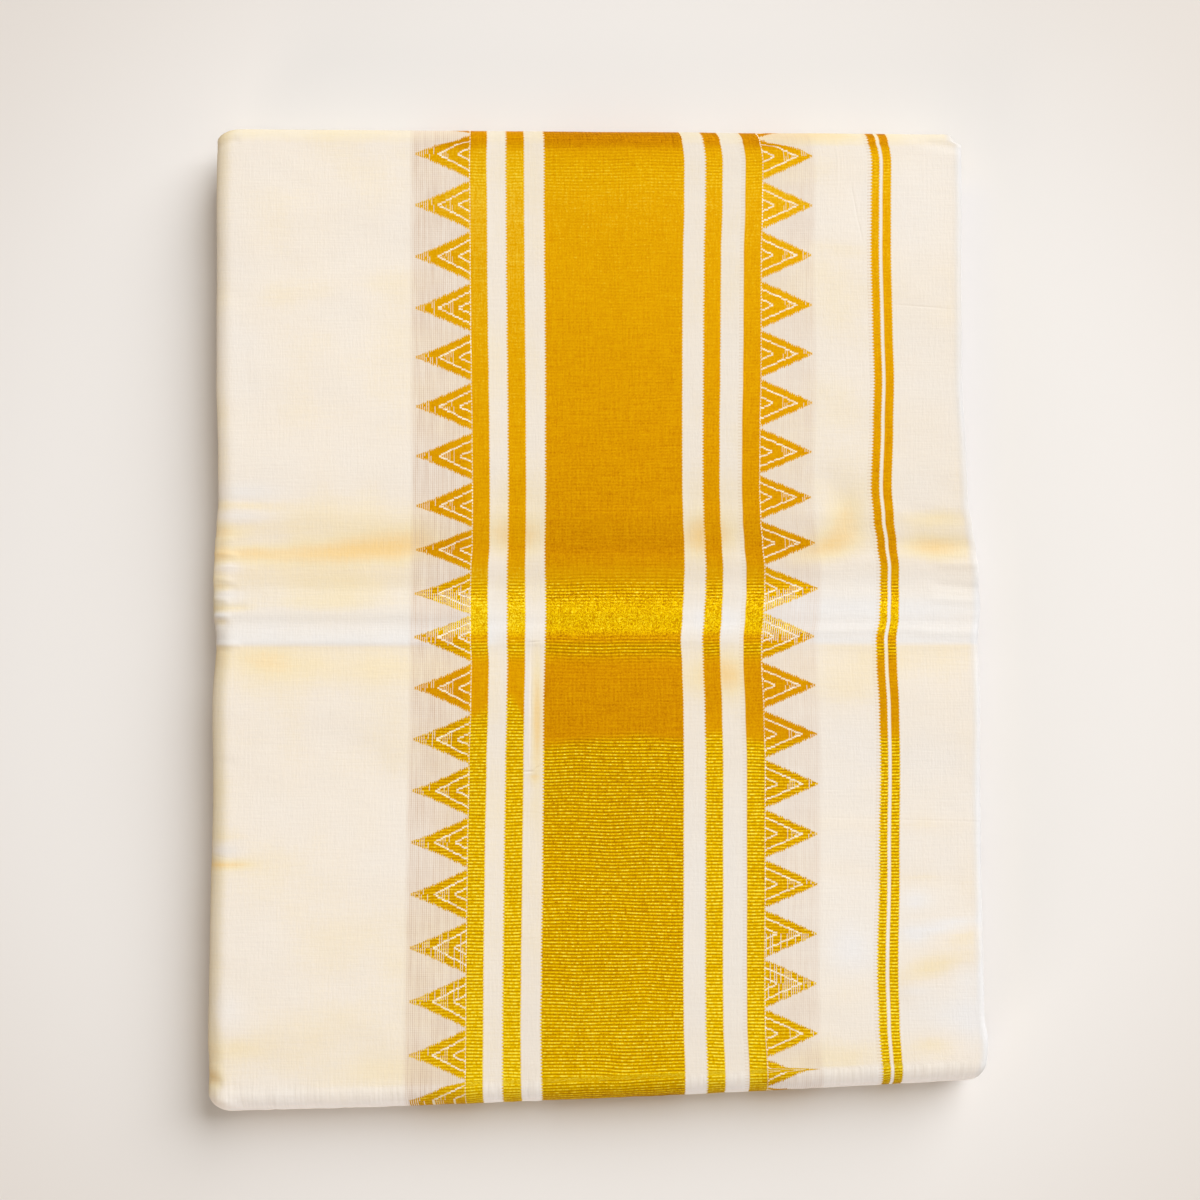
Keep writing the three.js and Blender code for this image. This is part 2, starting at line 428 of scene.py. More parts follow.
def leaf_section(level: Array) -> Section:
    """An outermost leaf from its left tuck over the level part to its right tuck.

    Args:
        level: x of each point of the level part between the two rolls.

    Returns:
        The section, with lengths along the cloth from x = 0.
    """
    left_x, left_depth = LEFT_TURN.line(PACK.half_width)
    right_x, right_depth = RIGHT_TURN.line(PACK.half_width)
    x = np.concatenate([-left_x, level, right_x[::-1]])
    depth = np.concatenate([left_depth, np.zeros(len(level)), right_depth[::-1]])
    lengths = np.concatenate([[0.0], np.cumsum(np.hypot(np.diff(x), np.diff(depth)))])
    return Section(x, depth, lengths - np.interp(0.0, x, lengths))


# ---------------------------------------------------------------------------------------------------
# Relief of the cloth
# ---------------------------------------------------------------------------------------------------


@dataclass(frozen=True)
class Crease:
    """One crease on the top, in millimetres: a line with a bow, a width, and a rise that may be negative."""

    start: tuple[float, float]
    end: tuple[float, float]
    rise: float
    width: float
    bow: float = 0.0
    form: CreaseForm = CreaseForm.SOFT
    taper: float = 0.35  # the lower, the blunter its ends
    lap_step: tuple[float, float] = (-1.0, 0.2)  # in widths: where a lap's step starts and where it is up
    lap_fade: float = 3.0

    def height(self, x: Array, y: Array) -> Array:
        """Rise over the plain cloth: a bell across the line, tapered to nothing at its ends.

        Args:
            x: across the pack.
            y: along it.

        Returns:
            Heights in millimetres.
        """
        dx, dy = self.end[0] - self.start[0], self.end[1] - self.start[1]
        length = math.hypot(dx, dy)
        along = ((x - self.start[0]) * dx + (y - self.start[1]) * dy) / length**2
        off = ((y - self.start[1]) * dx - (x - self.start[0]) * dy) / length
        inside = np.clip(along, 0.0, 1.0)
        off = (off - self.bow * 4.0 * inside * (1.0 - inside)) / self.width
        overshoot = (along - inside) * length / self.width
        taper = (4.0 * inside * (1.0 - inside)) ** self.taper * np.exp(-(overshoot**2))
        if self.form is CreaseForm.SOFT:
            return self.rise * taper * np.exp(-(off**2))
        behind = np.exp(-np.maximum(off, 0.0) / self.lap_fade)
        return self.rise * taper * behind * smoothstep(off, *self.lap_step)


@dataclass(frozen=True)
class Blob:
    """A soft patch on the top, in millimetres: an ellipse that fades like a bell, with a strength."""

    x: float
    y: float
    half_x: float
    half_y: float
    strength: float
    tilt: float = 0.0  # degrees anticlockwise

    def amount(self, x: Array, y: Array) -> Array:
        """Its strength at each place: the exponential of minus the squared distance in half sizes.

        Args:
            x: across the pack.
            y: along it.

        Returns:
            Strengths.
        """
        turn = math.radians(self.tilt)
        dx, dy = x - self.x, y - self.y
        along = (dx * math.cos(turn) + dy * math.sin(turn)) / self.half_x
        across = (dy * math.cos(turn) - dx * math.sin(turn)) / self.half_y
        return self.strength * np.exp(-(along**2) - across**2)


@dataclass(frozen=True)
class Fringe:
    """A tint that starts sharply along a line of constant y and fades away from it, in millimetres."""

    y: float
    from_x: float
    to_x: float
    fade: float  # over 0 it fades towards the back, under 0 towards the front
    strength: float
    softness: float = 0.9
    end_reach: float = 5.0  # over which it comes in at both ends

    def amount(self, x: Array, y: Array) -> Array:
        """Its strength at each place: a step at the line, then the exponential of the distance over the fade.

        Args:
            x: across the pack.
            y: along it.

        Returns:
            Strengths.
        """
        off = (y - self.y) * math.copysign(1.0, self.fade)
        starts = smoothstep(x, self.from_x - self.end_reach, self.from_x + self.end_reach)
        ends = smoothstep(x, self.to_x + self.end_reach, self.to_x - self.end_reach)
        faded = np.exp(-np.maximum(off, 0.0) / abs(self.fade))
        return self.strength * starts * ends * smoothstep(off, -self.softness, self.softness) * faded


SOFT, LAP = CreaseForm.SOFT, CreaseForm.LAP

# Each crease: its start, its end, rise, width, bow and form
CREASES = tuple(Crease(*row) for row in (
    # Storage crease: its foot, its sharp far edge, and what gathers beside it
    ((-154, 9), (154, 13), -0.35, 5.0, 0.0), ((-154, -13), (-40, -13.5), 0.30, 2.2, 0.5, LAP),
    ((-40, -13.5), (60, -12.5), 0.22, 1.8, 0.3, LAP), ((70, -9), (153, -8), 0.22, 2.6, 0.8, LAP),
    # Puckers that run in from the left side
    ((-156, 45), (-134, 43.5), -0.12, 1.6, 0.6), ((-157, 33.5), (-136, 35), -0.13, 1.8, -0.6),
    ((-157, 28.5), (-146, 29), 0.22, 1.1, 0.2), ((-158, 23.5), (-144, 22.3), 0.34, 1.0, 0.4),
    ((-157, 20.0), (-134, 20.6), -0.08, 1.9, 0.5), ((-158, 17.3), (-146, 18.2), 0.16, 0.8, -0.3),
    ((-158, 13.5), (-146, 12.0), 0.26, 0.8, 0.3), ((-158, 9.0), (-145, 9.6), -0.26, 1.3, 0.2),
    ((-158, 5.2), (-147, 4.0), 0.34, 0.9, 0.3), ((-158, 0.8), (-141, 2.2), -0.30, 1.4, -0.4),
    ((-159, -1.9), (-147, -2.4), 0.40, 0.8, 0.2), ((-158, -4.8), (-147, -5.2), -0.32, 1.3, 0.2),
    ((-159, -13.2), (-142, -13.8), 0.36, 0.8, 0.2), ((-157, -16.0), (-146, -16.6), -0.24, 1.2, 0.2),
    ((-157, -98.6), (-142, -99.6), -0.30, 1.6, 0.3), ((-157, -104.2), (-146, -104.4), 0.18, 1.4, 0.3),
    ((-156, 78), (-146, 79), -0.15, 1.8, 0.2), ((-156, 130), (-144, 128), -0.15, 2.0, 0.2),
    ((-155, -60), (-144, -61), -0.13, 1.8, 0.2), ((-155, -140), (-146, -142), -0.15, 1.8, 0.2),
    # Corners: the pinch at the front left, and the layers that part at the two back corners
    ((-158, -184.5), (-147, -187.0), -0.70, 1.6, 0.6), ((-157, -180.5), (-147, -181.5), 0.35, 1.8, 0.3),
    ((-150, -193), (-140, -197), 0.25, 1.4, 0.4), ((156, 187.5), (134, 191.5), -0.35, 1.4, -0.8),
    ((-158, 189.5), (-146, 193.5), -0.55, 1.3, 0.5),
    # Puckers that run in from the right side
    ((155, 38), (126, 40), -0.24, 3.0, 0.6), ((156, 26), (118, 27), -0.30, 3.0, -0.6),
    ((157, 19), (138, 19), 0.21, 1.6, 0.2), ((157, 9), (136, 11), -0.18, 1.8, 0.2),
    ((157, 4), (134, 5), 0.21, 1.6, 0.3), ((156, -9), (130, -9), 0.15, 1.6, 0.2),
    ((156, -83), (90, -84), 0.12, 2.2, 0.4, LAP), ((119, 124.5), (152, 121.5), -0.10, 2.4, 0.8),
    ((156, -140), (128, -146), -0.13, 4.0, 1.0),
    # Long soft folds from how the pack was pressed
    ((105, 178), (112, 146), -0.10, 4.0, 0.8), ((92, 56), (105, 30), -0.45, 6.0, 1.5),
    ((-154, 150), (-80, 172), 0.30, 9.0, 3.0), ((-154, 128), (-75, 150), -0.22, 7.0, 3.0),
    ((-140, 96), (-90, 104), 0.22, 9.0, -4.0), ((-130, -50), (-80, -62), -0.22, 9.0, 3.0),
    ((-150, -168), (-80, -160), 0.30, 9.0, -3.0), ((120, -150), (154, -128), 0.30, 8.0, 2.0),
    ((92, -104), (150, -112), -0.18, 6.0, 1.0), ((90, 92), (148, 80), 0.18, 9.0, -2.0),
    # Tucks in the white stripe beside the wide band
    ((-25.7, -63), (-25.9, -15), 0.16, 1.2, 0.2, LAP),
    ((-29.4, -64.9), (-20.2, -61.2), 0.30, 1.0, -1.4, LAP),
    ((-29.0, -132), (-22.0, -131), 0.16, 1.0, -0.4, LAP),
    ((-28.6, -181), (-21.5, -180), 0.16, 1.0, -0.4, LAP),
    ((-29.0, -12.5), (-21.0, -13.2), 0.18, 1.0, 0.3, LAP),
))


# Sizes of unevenness: its height, the side of a cell, how much x and y are pressed together, and its seed
UNEVEN_RISE = ((0.16, 34.0, 1.0, 1.0, 11), (0.07, 13.0, 1.0, 1.6, 12), (0.02, 4.5, 0.5, 1.0, 13))
UNEVEN_WARMTH = ((0.16, 26.0, 1.0, 1.0, 21), (0.08, 10.0, 1.0, 1.0, 22))


def unevenness(x: Array, y: Array, sizes: Table) -> Array:
    """Smooth random heights of several sizes, added up."""
    parts = (height * soft_noise(x * in_x, y * in_y, cell, seed) for height, cell, in_x, in_y, seed in sizes)
    return sum(parts)


def cloth_relief(x: Array, y: Array) -> Array:
    """Rise of the top over its plain form, in millimetres: every crease, and the cloth's own unevenness."""
    return sum(crease.height(x, y) for crease in CREASES) + unevenness(x, y, UNEVEN_RISE)


# Painted shade and light in the cotton's tint, with some uneven tone: warmer yellow where its folds and
# slopes are in shade, and (negative) cooler where they are lit: x, y, half sizes, strength and tilt of each
# patch.
TONE_AND_SHADE_PATCHES = tuple(Blob(*row) for row in (
    (-122, 22.8, 50, 5.0, 0.62, 1), (-82, 27, 34, 6.5, 0.50, 5), (-142, 42.8, 13, 2.0, 0.45, -2),
    (-142, 48, 15, 4.0, -0.55), (-143, 38.2, 11, 2.4, -0.45), (-147, 31, 8, 3.4, 0.35),
    (-105, 36, 50, 12.0, 0.38), (-110, 3, 50, 4.0, 0.40), (-142, 33, 18, 4.0, 0.30),
    (-149, 17.5, 6, 2.0, -0.50), (-149, 6.5, 5, 2.2, -0.50), (-147, 1.0, 9, 1.7, 0.55),
    (-150, 9.5, 5, 1.5, 0.30), (-151, -1.8, 3, 0.9, -0.60), (-150, -4.4, 4, 1.6, 0.50),
    (-146, -100.8, 10, 2.2, 0.75), (-147, -95.6, 6, 2.8, -0.60), (-147, -90.0, 6, 3.0, 0.25),
    (-142, 24.0, 15, 3.2, 0.40), (-100, 10, 60, 5.5, 0.32), (110, -90, 55, 70, -0.30),
    (45, -130, 26, 60, -0.30), (-23.2, -42, 2.4, 25, 0.95), (-27.6, -40, 1.6, 26, -0.40),
    (-24.5, -67, 2.4, 1.6, 0.55), (-150.5, -184.5, 4, 3, 0.30), (-125, 15, 42, 6, 0.32),
    (-140, 80, 16, 90, -0.15), (-130, 105, 30, 20, -0.15), (-132, -20, 26, 7.0, 0.42, -3),
    (-90, -24, 34, 7.0, 0.28), (-105, 165, 55, 10.0, 0.06, 6), (-104, 132, 60, 5.0, 0.16, 8),
    (-122, 105, 18, 26.0, 0.20, 20), (-95, 78, 30, 12.0, 0.14, 10), (-105, -60, 50, 18.0, 0.12, -8),
    (-120, -172, 34, 12.0, 0.30, 14), (-85, -182, 26, 7.0, 0.28, 6), (-70, -150, 14, 30.0, 0.12),
    (101, 36, 9, 13.0, 0.75, -24), (90, 25, 16, 6.0, 0.75, 10), (137, 26, 17, 6.0, 1.06),
    (118, 7, 34, 4.5, 0.45), (101, -32, 16, 8.0, 0.35), (137, 37, 17, 4.0, 0.60), (110, 4, 46, 9.0, -0.70),
    (118, -20, 34, 7.0, 0.22, 2), (95, 128, 12, 22.0, 0.16, -10), (98, 148, 24, 3.0, 0.18, -8),
    (120, -85, 40, 3.4, 0.30), (112, -105, 34, 4.0, 0.22, -6), (131, -106.7, 10, 2.0, 0.28, 2),
    (127, -115.3, 6, 3.2, -0.70), (138, -125.0, 14, 2.2, -0.90, 10), (127, -128.5, 6, 4.0, -0.70),
    (145, -129.5, 10, 2.8, 0.36, 12), (134, -141.0, 15, 5.0, 0.62, 15), (147, -145.0, 7, 5.0, -0.40, 20),
    (125, -150.3, 8, 1.4, -0.35), (102, -135, 12, 10.0, -0.65), (104, -150, 22, 7.0, 0.20, 10),
    (98, -176, 24, 6.0, 0.34, 4), (149, -163, 7, 14.0, -0.60), (140, -160, 22, 8.0, -0.45),
    (134, -171, 12, 4.0, 0.35), (-145, -158, 6, 7.0, -0.45), (-141, -173, 9, 4.0, 0.32),
    (130, 172, 26, 22.0, -0.28), (135, 85, 22, 18.0, -0.18), (140, -60, 30, 8.0, -0.20),
    (-32, 30, 14, 9.0, 0.80), (44, 30, 12, 10.0, 1.10), (54, 32, 8, 12.0, 0.10), (48, -26, 14, 8.0, 0.60),
    (55, -26, 9, 12.0, 0.45), (-32, -6, 14, 6.0, -0.70), (48, -4, 16, 6.0, -1.10),
    (-32, 46, 14, 10.0, 0.25), (46, 48, 16, 12.0, 0.22),
))
# Painted light and shade on both sides of the storage crease's sharp edge, as tints: cool on its lit slope
# behind it, warm in shade in front of it; y, from and to x, fade and strength.
CREASE_LIGHT_AND_SHADE_FRINGES = tuple(Fringe(*row) for row in (
    (-13.6, -156, -40, 12.0, -0.95), (-14.4, -156, -60, -13.0, 0.12), (-13.0, 66, 156, 12.0, -0.85),
    (-13.8, 90, 156, -8.0, 0.20),
))


# Where the cotton catches more light than its slope explains, in parts of its brightness.
BRIGHT_PATCHES = tuple(Blob(*row) for row in (
    (102, -135, 14, 12, 0.022), (146, -163, 14, 18, 0.034), (127, -115, 8, 4, 0.018),
    (138, -125, 15, 3, 0.024, 10), (-143, -158, 8, 8, 0.015), (130, 172, 30, 26, 0.010),
))


@dataclass(frozen=True)
class Tone:
    """A tone that rises smoothly over the face, in millimetres: its amount times each rise that it names.

    A rise is where it starts and where it is full, and runs either way.
    """

    amount: float
    along: tuple[float, float] | None = None  # in y
    across: tuple[float, float] | None = None  # in x
    to_side: tuple[float, float] | None = None  # in x of the straight pack

    def at(self, x: Array, y: Array, straight_x: Array) -> Array:
        """The tone at each place.

        Args:
            x: across the pack.
            y: along it.
            straight_x: across the straight pack.

        Returns:
            Amounts.
        """
        total = np.full_like(y, self.amount)
        for value, rise in ((y, self.along), (x, self.across), (straight_x, self.to_side)):
            if rise:
                total = total * smoothstep(value, *rise)
        return total


LEFT_ROLL, RIGHT_ROLL, BACK_ROLL = (-143.5, -149.5), (147.5, 151.0), (190.0, 198.0)

# Painted shade and light as the cotton's warmth: warmer in shade at the left roll and the back turn, cooler
# where the right roll and the front turn are lit
LIGHT_AND_SHADE_WARMTH = (
    Tone(0.32, to_side=LEFT_ROLL),
    Tone(0.06, along=(40, -20), to_side=LEFT_ROLL),
    Tone(-0.35, to_side=RIGHT_ROLL),
    Tone(-0.20, along=(0, -40), to_side=RIGHT_ROLL),
    Tone(-0.35, to_side=(148.5, 151.0)),
    Tone(-0.70, along=(-186, -196)),
    Tone(-0.50, along=(-193, -199)),
    Tone(0.30, along=BACK_ROLL),
    Tone(0.05, along=BACK_ROLL, across=(-60, 0)),
)
# How much brighter the cloth is than its slope explains: at the two turns, the two rolls and the back half
LIGHT_TONES = (
    Tone(0.26, along=(-187, -199)),
    Tone(0.15, along=(-194, -201)),
    Tone(-0.18, along=(193.5, 199)),
    Tone(-0.04, to_side=LEFT_ROLL),
    Tone(-0.10, along=(40, -20), to_side=LEFT_ROLL),
    Tone(-0.06, to_side=RIGHT_ROLL),
    Tone(-0.04, along=(-20, 40), to_side=RIGHT_ROLL),
    Tone(-0.10, to_side=(150.3, 151.6)),
    Tone(0.02, along=(110, 160), across=(60, 100)),
    Tone(-0.02, along=(-20, 60), across=(-40, 100)),
)
# The storage crease's own light, in bands across the pack: y, half width and amount
CREASE_LIGHT = ((16.0, 8.0, 0.04), (4.5, 6.0, -0.10), (-10.5, 4.0, -0.07))


class FineFold(NamedTuple):
    """A fine fold line in the finish: its two ends and its rise, in millimetres."""

    start_x: float
    start_y: float
    end_x: float
    end_y: float
    rise: float


# The first is the hem line; the others are tucks and hairline folds.
FINE_FOLDS = tuple(FineFold(*row) for row in (
    (-420.0, -200.56, 420.0, -200.04, -0.230), (116.0, 125.2, 149.5, 122.5, -0.100),
    (99.0, 196.0, 98.4, 166.0, 0.070), (104.2, 176.0, 107.0, 161.0, -0.080),
    (106.6, 163.0, 110.0, 149.0, -0.080), (88.0, -82.4, 156.0, -84.2, -0.080),
    (-26.1, -15.0, -25.8, -63.5, -0.180), (-29.4, -64.4, -24.0, -64.1, -0.300),
    (-25.4, -64.3, -20.4, -60.8, -0.300), (-29.4, -12.9, -20.6, -12.2, -0.230),
    (-29.0, -131.0, -21.5, -129.6, -0.055), (-27.4, -181.6, -21.0, -177.6, -0.070),
    (-156.0, -96.9, -146.0, -98.4, -0.080), (-156.0, 18.6, -140.0, 17.4, 0.060),
    (-156.0, -2.4, -146.0, -2.0, 0.090), (-156.0, -13.8, -140.0, -14.2, 0.060),
))


# ---------------------------------------------------------------------------------------------------
# Finishes
# ---------------------------------------------------------------------------------------------------


def linear(colour: str) -> tuple[float, float, float, float]:
    """An sRGB hex colour in linear light: below 0.04045 over 12.92, else ((c + 0.055) / 1.055) to 2.4.

    Args:
        colour: "#rrggbb".

    Returns:
        Red, green, blue and 1.
    """
    parts = [int(colour[i : i + 2], 16) / 255.0 for i in (1, 3, 5)]
    red, green, blue = (c / 12.92 if c <= 0.04045 else ((c + 0.055) / 1.055) ** 2.4 for c in parts)
    return red, green, blue, 1.0


# Sockets of a Mix node that mixes colours
MIX_FACTOR, MIX_A, MIX_B, MIX_RESULT = 0, 6, 7, 2

Value = Socket | float | tuple[float, ...]
Shades = tuple[tuple[float, str], ...]


class Shader:
    """A material's nodes, added one at a time."""

    def __init__(self, name: str) -> None:
        """Starts an empty material.

        Args:
            name: its name.
        """
        self.material = bpy.data.materials.new(name)
        self.material.use_nodes = True
        self.tree = self.material.node_tree
        self.tree.nodes.clear()

    def add(
        self, kind: str, *values: Value, output: int = 0, named: dict | None = None, **settings: object
    ) -> Socket:
        """Adds one node with its settings and links.

        Args:
            kind: a shader node's name, or in capitals the operation of a Math node.
            values: its first inputs in order, each a socket or a constant.
            output: which output to return.
            named: further inputs by name or number.
            settings: the node's own properties.

        Returns:
            The output's socket.
        """
        node = self.tree.nodes.new("ShaderNodeMath" if kind.isupper() else f"ShaderNode{kind}")
        if kind.isupper():
            node.operation = kind
        for key, setting in settings.items():
            setattr(node, key, setting)
        for key, value in [*enumerate(values), *(named or {}).items()]:
            if isinstance(value, Socket):
                self.tree.links.new(value, node.inputs[key])
            else:
                node.inputs[key].default_value = value
        return node.outputs[output]

    def read(self, attribute: str) -> tuple[Socket, Socket, Socket]:
        """Reads one of the piece's own attributes.

        Args:
            attribute: its name.

        Returns:
            Its three values.
        """
        vector = self.add("Attribute", attribute_name=attribute, output=1)
        parts = self.add("SeparateXYZ", vector).node.outputs
        return parts[0], parts[1], parts[2]

    def layered(self, colour: Value, *layers: tuple[Value, Value]) -> Value:
        """Colours laid one over another.

        Args:
            colour: the lowest one.
            layers: the mask and the colour of each, from the lowest up.

        Returns:
            The colour of all.
        """
        for mask, over in layers:
            inputs = {MIX_FACTOR: mask, MIX_A: colour, MIX_B: over}
            colour = self.add("Mix", named=inputs, output=MIX_RESULT, data_type="RGBA")
        return colour

    def graded(self, value: Socket, stops: Shades) -> Socket:
        """A colour that runs through the stops as the value goes from 0 to 1.

        Args:
            value: what grades it.
            stops: position and sRGB hex colour of each stop.

        Returns:
            The colour's socket.
        """
        colour = self.add("ValToRGB", value)
        ramp = colour.node.color_ramp
        for position, _ in stops[2:]:
            ramp.elements.new(position)
        for element, (position, shade) in zip(ramp.elements, stops):
            element.position = position
            element.color = linear(shade)
        return colour

    def finish(self, inputs: dict[str, Value]) -> bpy.types.Material:
        """Ends the material in one shader.

        Args:
            inputs: sockets that vary over the piece, and values that are set on the shader's own sockets.

        Returns:
            The material.
        """
        shader = self.add("BsdfPrincipled", named=inputs)
        node = self.tree.nodes.new("ShaderNodeOutputMaterial")
        self.tree.links.new(shader, node.inputs["Surface"])
        return self.material


# Shades of handloom cotton, from its coolest white to its warmest yellow; on the pallu the warmth carries
# painted light and shade as well as uneven tone.
COTTON_SHADES = ((0.0, "#e5e2e0"), (0.5, "#eae0d2"), (0.75, "#ecdcba"), (1.0, "#edcd92"))


# Shades of zari from painted shade to painted glints: where it is plain, and where the weft stands in ribs,
# which is painted brighter and yellower.
PLAIN_ZARI = ((0.15, "#9c5c00"), (0.35, "#c37f01"), (0.5, "#d19202"), (0.65, "#daa003"), (1.0, "#eed04a"))
RIBBED_ZARI = ((0.0, "#986300"), (0.25, "#b78200"), (0.5, "#d7a700"), (0.72, "#e6c204"), (1.0, "#f6e348"))


@dataclass(frozen=True)
class Band:
    """A zari band across the pallu, in millimetres along the cloth from the middle of the pack."""

    left: float
    right: float
    toothed: bool = False  # each weft thread stands out at its left edge
    ticked: bool = False  # the ends of weft threads show as ticks before its left edge


BANDS = (
    Band(-50.6, -43.9),
    Band(-36.0, -28.85, toothed=True),
    Band(-20.6, 35.35, toothed=True),
    Band(44.1, 50.85, toothed=True),
    Band(60.3, 67.3, ticked=True),
    Band(112.9, 116.0, toothed=True, ticked=True),
    Band(117.5, 120.8),
)


@dataclass(frozen=True)
class TempleBorder:
    """Woven temple triangles on both sides of the pallu's bands, in millimetres."""

    left_base: float = -50.6
    right_base: float = 67.3
    left_length: float = 23.0
    right_length: float = 20.8
    pitch: float = 20.6
    half_base: float = 9.7
    left_hollow: float = 1.12  # over 1 the triangle's flanks curve in
    right_hollow: float = 0.96
    left_chevron: float = 12.8
    right_chevron: float = 14.2
    chevron_half: float = 6.5
    core_length: float = 4.8
    core_half: float = 2.3
    line: float = 0.34  # half the thickness of a pale line
    tip_half: float = 0.25
    left_hatch: float = 10.0  # pale threads that show between the two lines
    right_hatch: float = 11.4
    hatch_half: float = 2.8
    ground_fade: float = 2.2  # over which the sheer ground passes into the plain cotton
    gap_from: float = 0.68  # part of a thread's pitch after which the gap beside it shows
    comb_depth: float = 0.7  # how much shorter the weft is in the gaps, and how unevenly it ends
    comb_random: float = 0.6
    comb_even: float = -0.15
    thin_y: float = -141.0  # where the threads have spread on the front half, and how much
    thin_half: float = 13.0
    thin: float = 0.45
    dot_pitch: float = 0.65  # half the pitch of the dotted line along the bases
    dot_from: float = 0.22
    base_line: float = 0.15
    base_line_half: float = 0.22


TEMPLE = TempleBorder()


@dataclass
class PalluCloth:
    """Handloom cotton with supplementary zari weft, woven: ivory ground, matt gold bands with fine ribs.

    Cotton scatters light softly. Zari is silk wrapped in gilt thread; its glints are painted highlights,
    short bright dashes on the ribs' crests. Threads are about 0.25 mm apart, too fine to show, so they are
    drawn 0.84 mm.
    """

    thread: float = 0.84
    rib: float = 1.30
    fringe: float = 0.26  # how far gilt fibres stray over an edge, and how much of the cloth they cover
    fringe_cover: float = 0.55
    tick_cover: float = 0.24
    maze_scale: float = 0.52  # of the noise whose contours the crinkles follow, and how many there are
    maze_turns: float = 36.0
    # How much each thing moves the zari along its shades: the maze, glint and dashes are painted highlights,
    # the ribs and light are painted light and shade
    maze_shade: float = 0.21
    glint_shade: float = 0.15
    dash_shade: float = 2.2
    rib_shade: float = 0.25
    grain_shade: float = 0.35
    slub_shade: float = 0.25
    light_shade: float = 1.2
    plain_shade: float = 0.5  # where it stands when its brightness is 1
    # How much slubs and their unevenness move the cotton
    cotton_slubs: float = 0.055
    cotton_uneven: float = 0.10
    # How strongly the sheer ground's warp, weft and patches show, and how much less so on the right
    sheer_weft: float = 0.35
    sheer_uneven: float = 2.4
    sheer_patches: float = 0.35
    sheer_right: float = 0.5
    fold_half: float = 0.45  # half width of a fine fold
    fold_reach: float = 0.42  # half size of its bell along it, in parts of its length
    weave_rise: float = 0.10  # millimetres that the ribs stand up
    slub_rise: float = 0.9  # height of the slubs, in parts of the ribs'
    temple_smoothness: float = 0.35  # how much weaker the ribs are on the temple rows, and how much lighter
    temple_light: float = 0.05
    tooth_reach: float = 1.3  # how far a thread stands out at a left edge, per distance from its furrow
    tooth_back: float = 0.42
    right_reach: float = 0.5  # the same at a right edge
    right_back: float = 0.16
    crest_from: float = 0.36  # distance from the furrow after which a tick shows
    tick_half: float = 0.9
    wander: float = 2.2  # how far the ribs waver, and over how much cloth
    wander_scale: float = 0.035
    gilt: float = 0.15  # how metallic the zari is: gilt thread over a core of silk
    roughness: float = 0.88
    zari_roughness: float = 0.50
    tick: str = "#c4a678"
    fibre: str = "#dcb868"
    line: str = "#f3ead2"
    sheer_warp: str = "#c6aa93"
    shader: Shader = field(init=False)  # the material's nodes
    across: Socket = field(init=False)  # length across the bands
    along: Socket = field(init=False)  # length along them

    def material(self) -> bpy.types.Material:
        """Builds the finish.

        Returns:
            The material.
        """
        self.shader = shader = Shader("handwoven_cotton_and_zari_painted_light")
        # the third value is the cloth's painted light and shade, as a brightness
        self.across, self.along, light = shader.read("cloth")
        add = shader.add
        left_step, right_step, glint = shader.read("motif")
        # the cotton's tint holds painted shade (warmer) and painted light (cooler), with uneven tone; the
        # zari's brightness is painted light and shade
        tone_and_shade_warmth, ribs, zari_light = shader.read("tone")
        place = self.rib_place()
        tooth = add("PINGPONG", place, self.rib / 2)
        threads = self.threads()
        gold_mask, band_fringe, ticks = self.bands(tooth)
        row = self.temples(left_step, right_step, glint)
        temple, temple_fringe, ground, temple_line = row
        gold_mask = add("MAXIMUM", gold_mask, temple)
        fringe = add("MAXIMUM", band_fringe, temple_fringe)
        ribs = add("MULTIPLY", ribs, add("MULTIPLY_ADD", temple, -self.temple_smoothness, 1.0))
        zari_light = add("MULTIPLY_ADD", temple, self.temple_light, zari_light)
        rib_wave, gold = self.zari(place, ribs, glint, zari_light, threads)
        cotton = self.cotton(tone_and_shade_warmth, light, threads)
        cloth = self.sheer(cotton, ground)
        masks = ((ticks, self.tick), (fringe, self.fibre), (temple_line, self.line))
        woven = ((mask, linear(shade)) for mask, shade in masks)
        colour = shader.layered(cloth, *woven, (gold_mask, gold))
        metallic = add("MULTIPLY", gold_mask, self.gilt)
        smoother = self.zari_roughness - self.roughness
        roughness = add("MULTIPLY_ADD", gold_mask, smoother, self.roughness)
        height = add("MULTIPLY", rib_wave, gold_mask)
        height = add("MULTIPLY_ADD", threads, self.slub_rise, height)
        height = add("MULTIPLY_ADD", height, self.weave_rise, self.fine_folds())
        bump = add("Bump", named={"Height": height, "Distance": MM, "Strength": 0.6})
        looks = {"Base Color": colour, "Metallic": metallic, "Roughness": roughness, "Normal": bump}
        return shader.finish({**looks, "Specular IOR Level": 0.01})

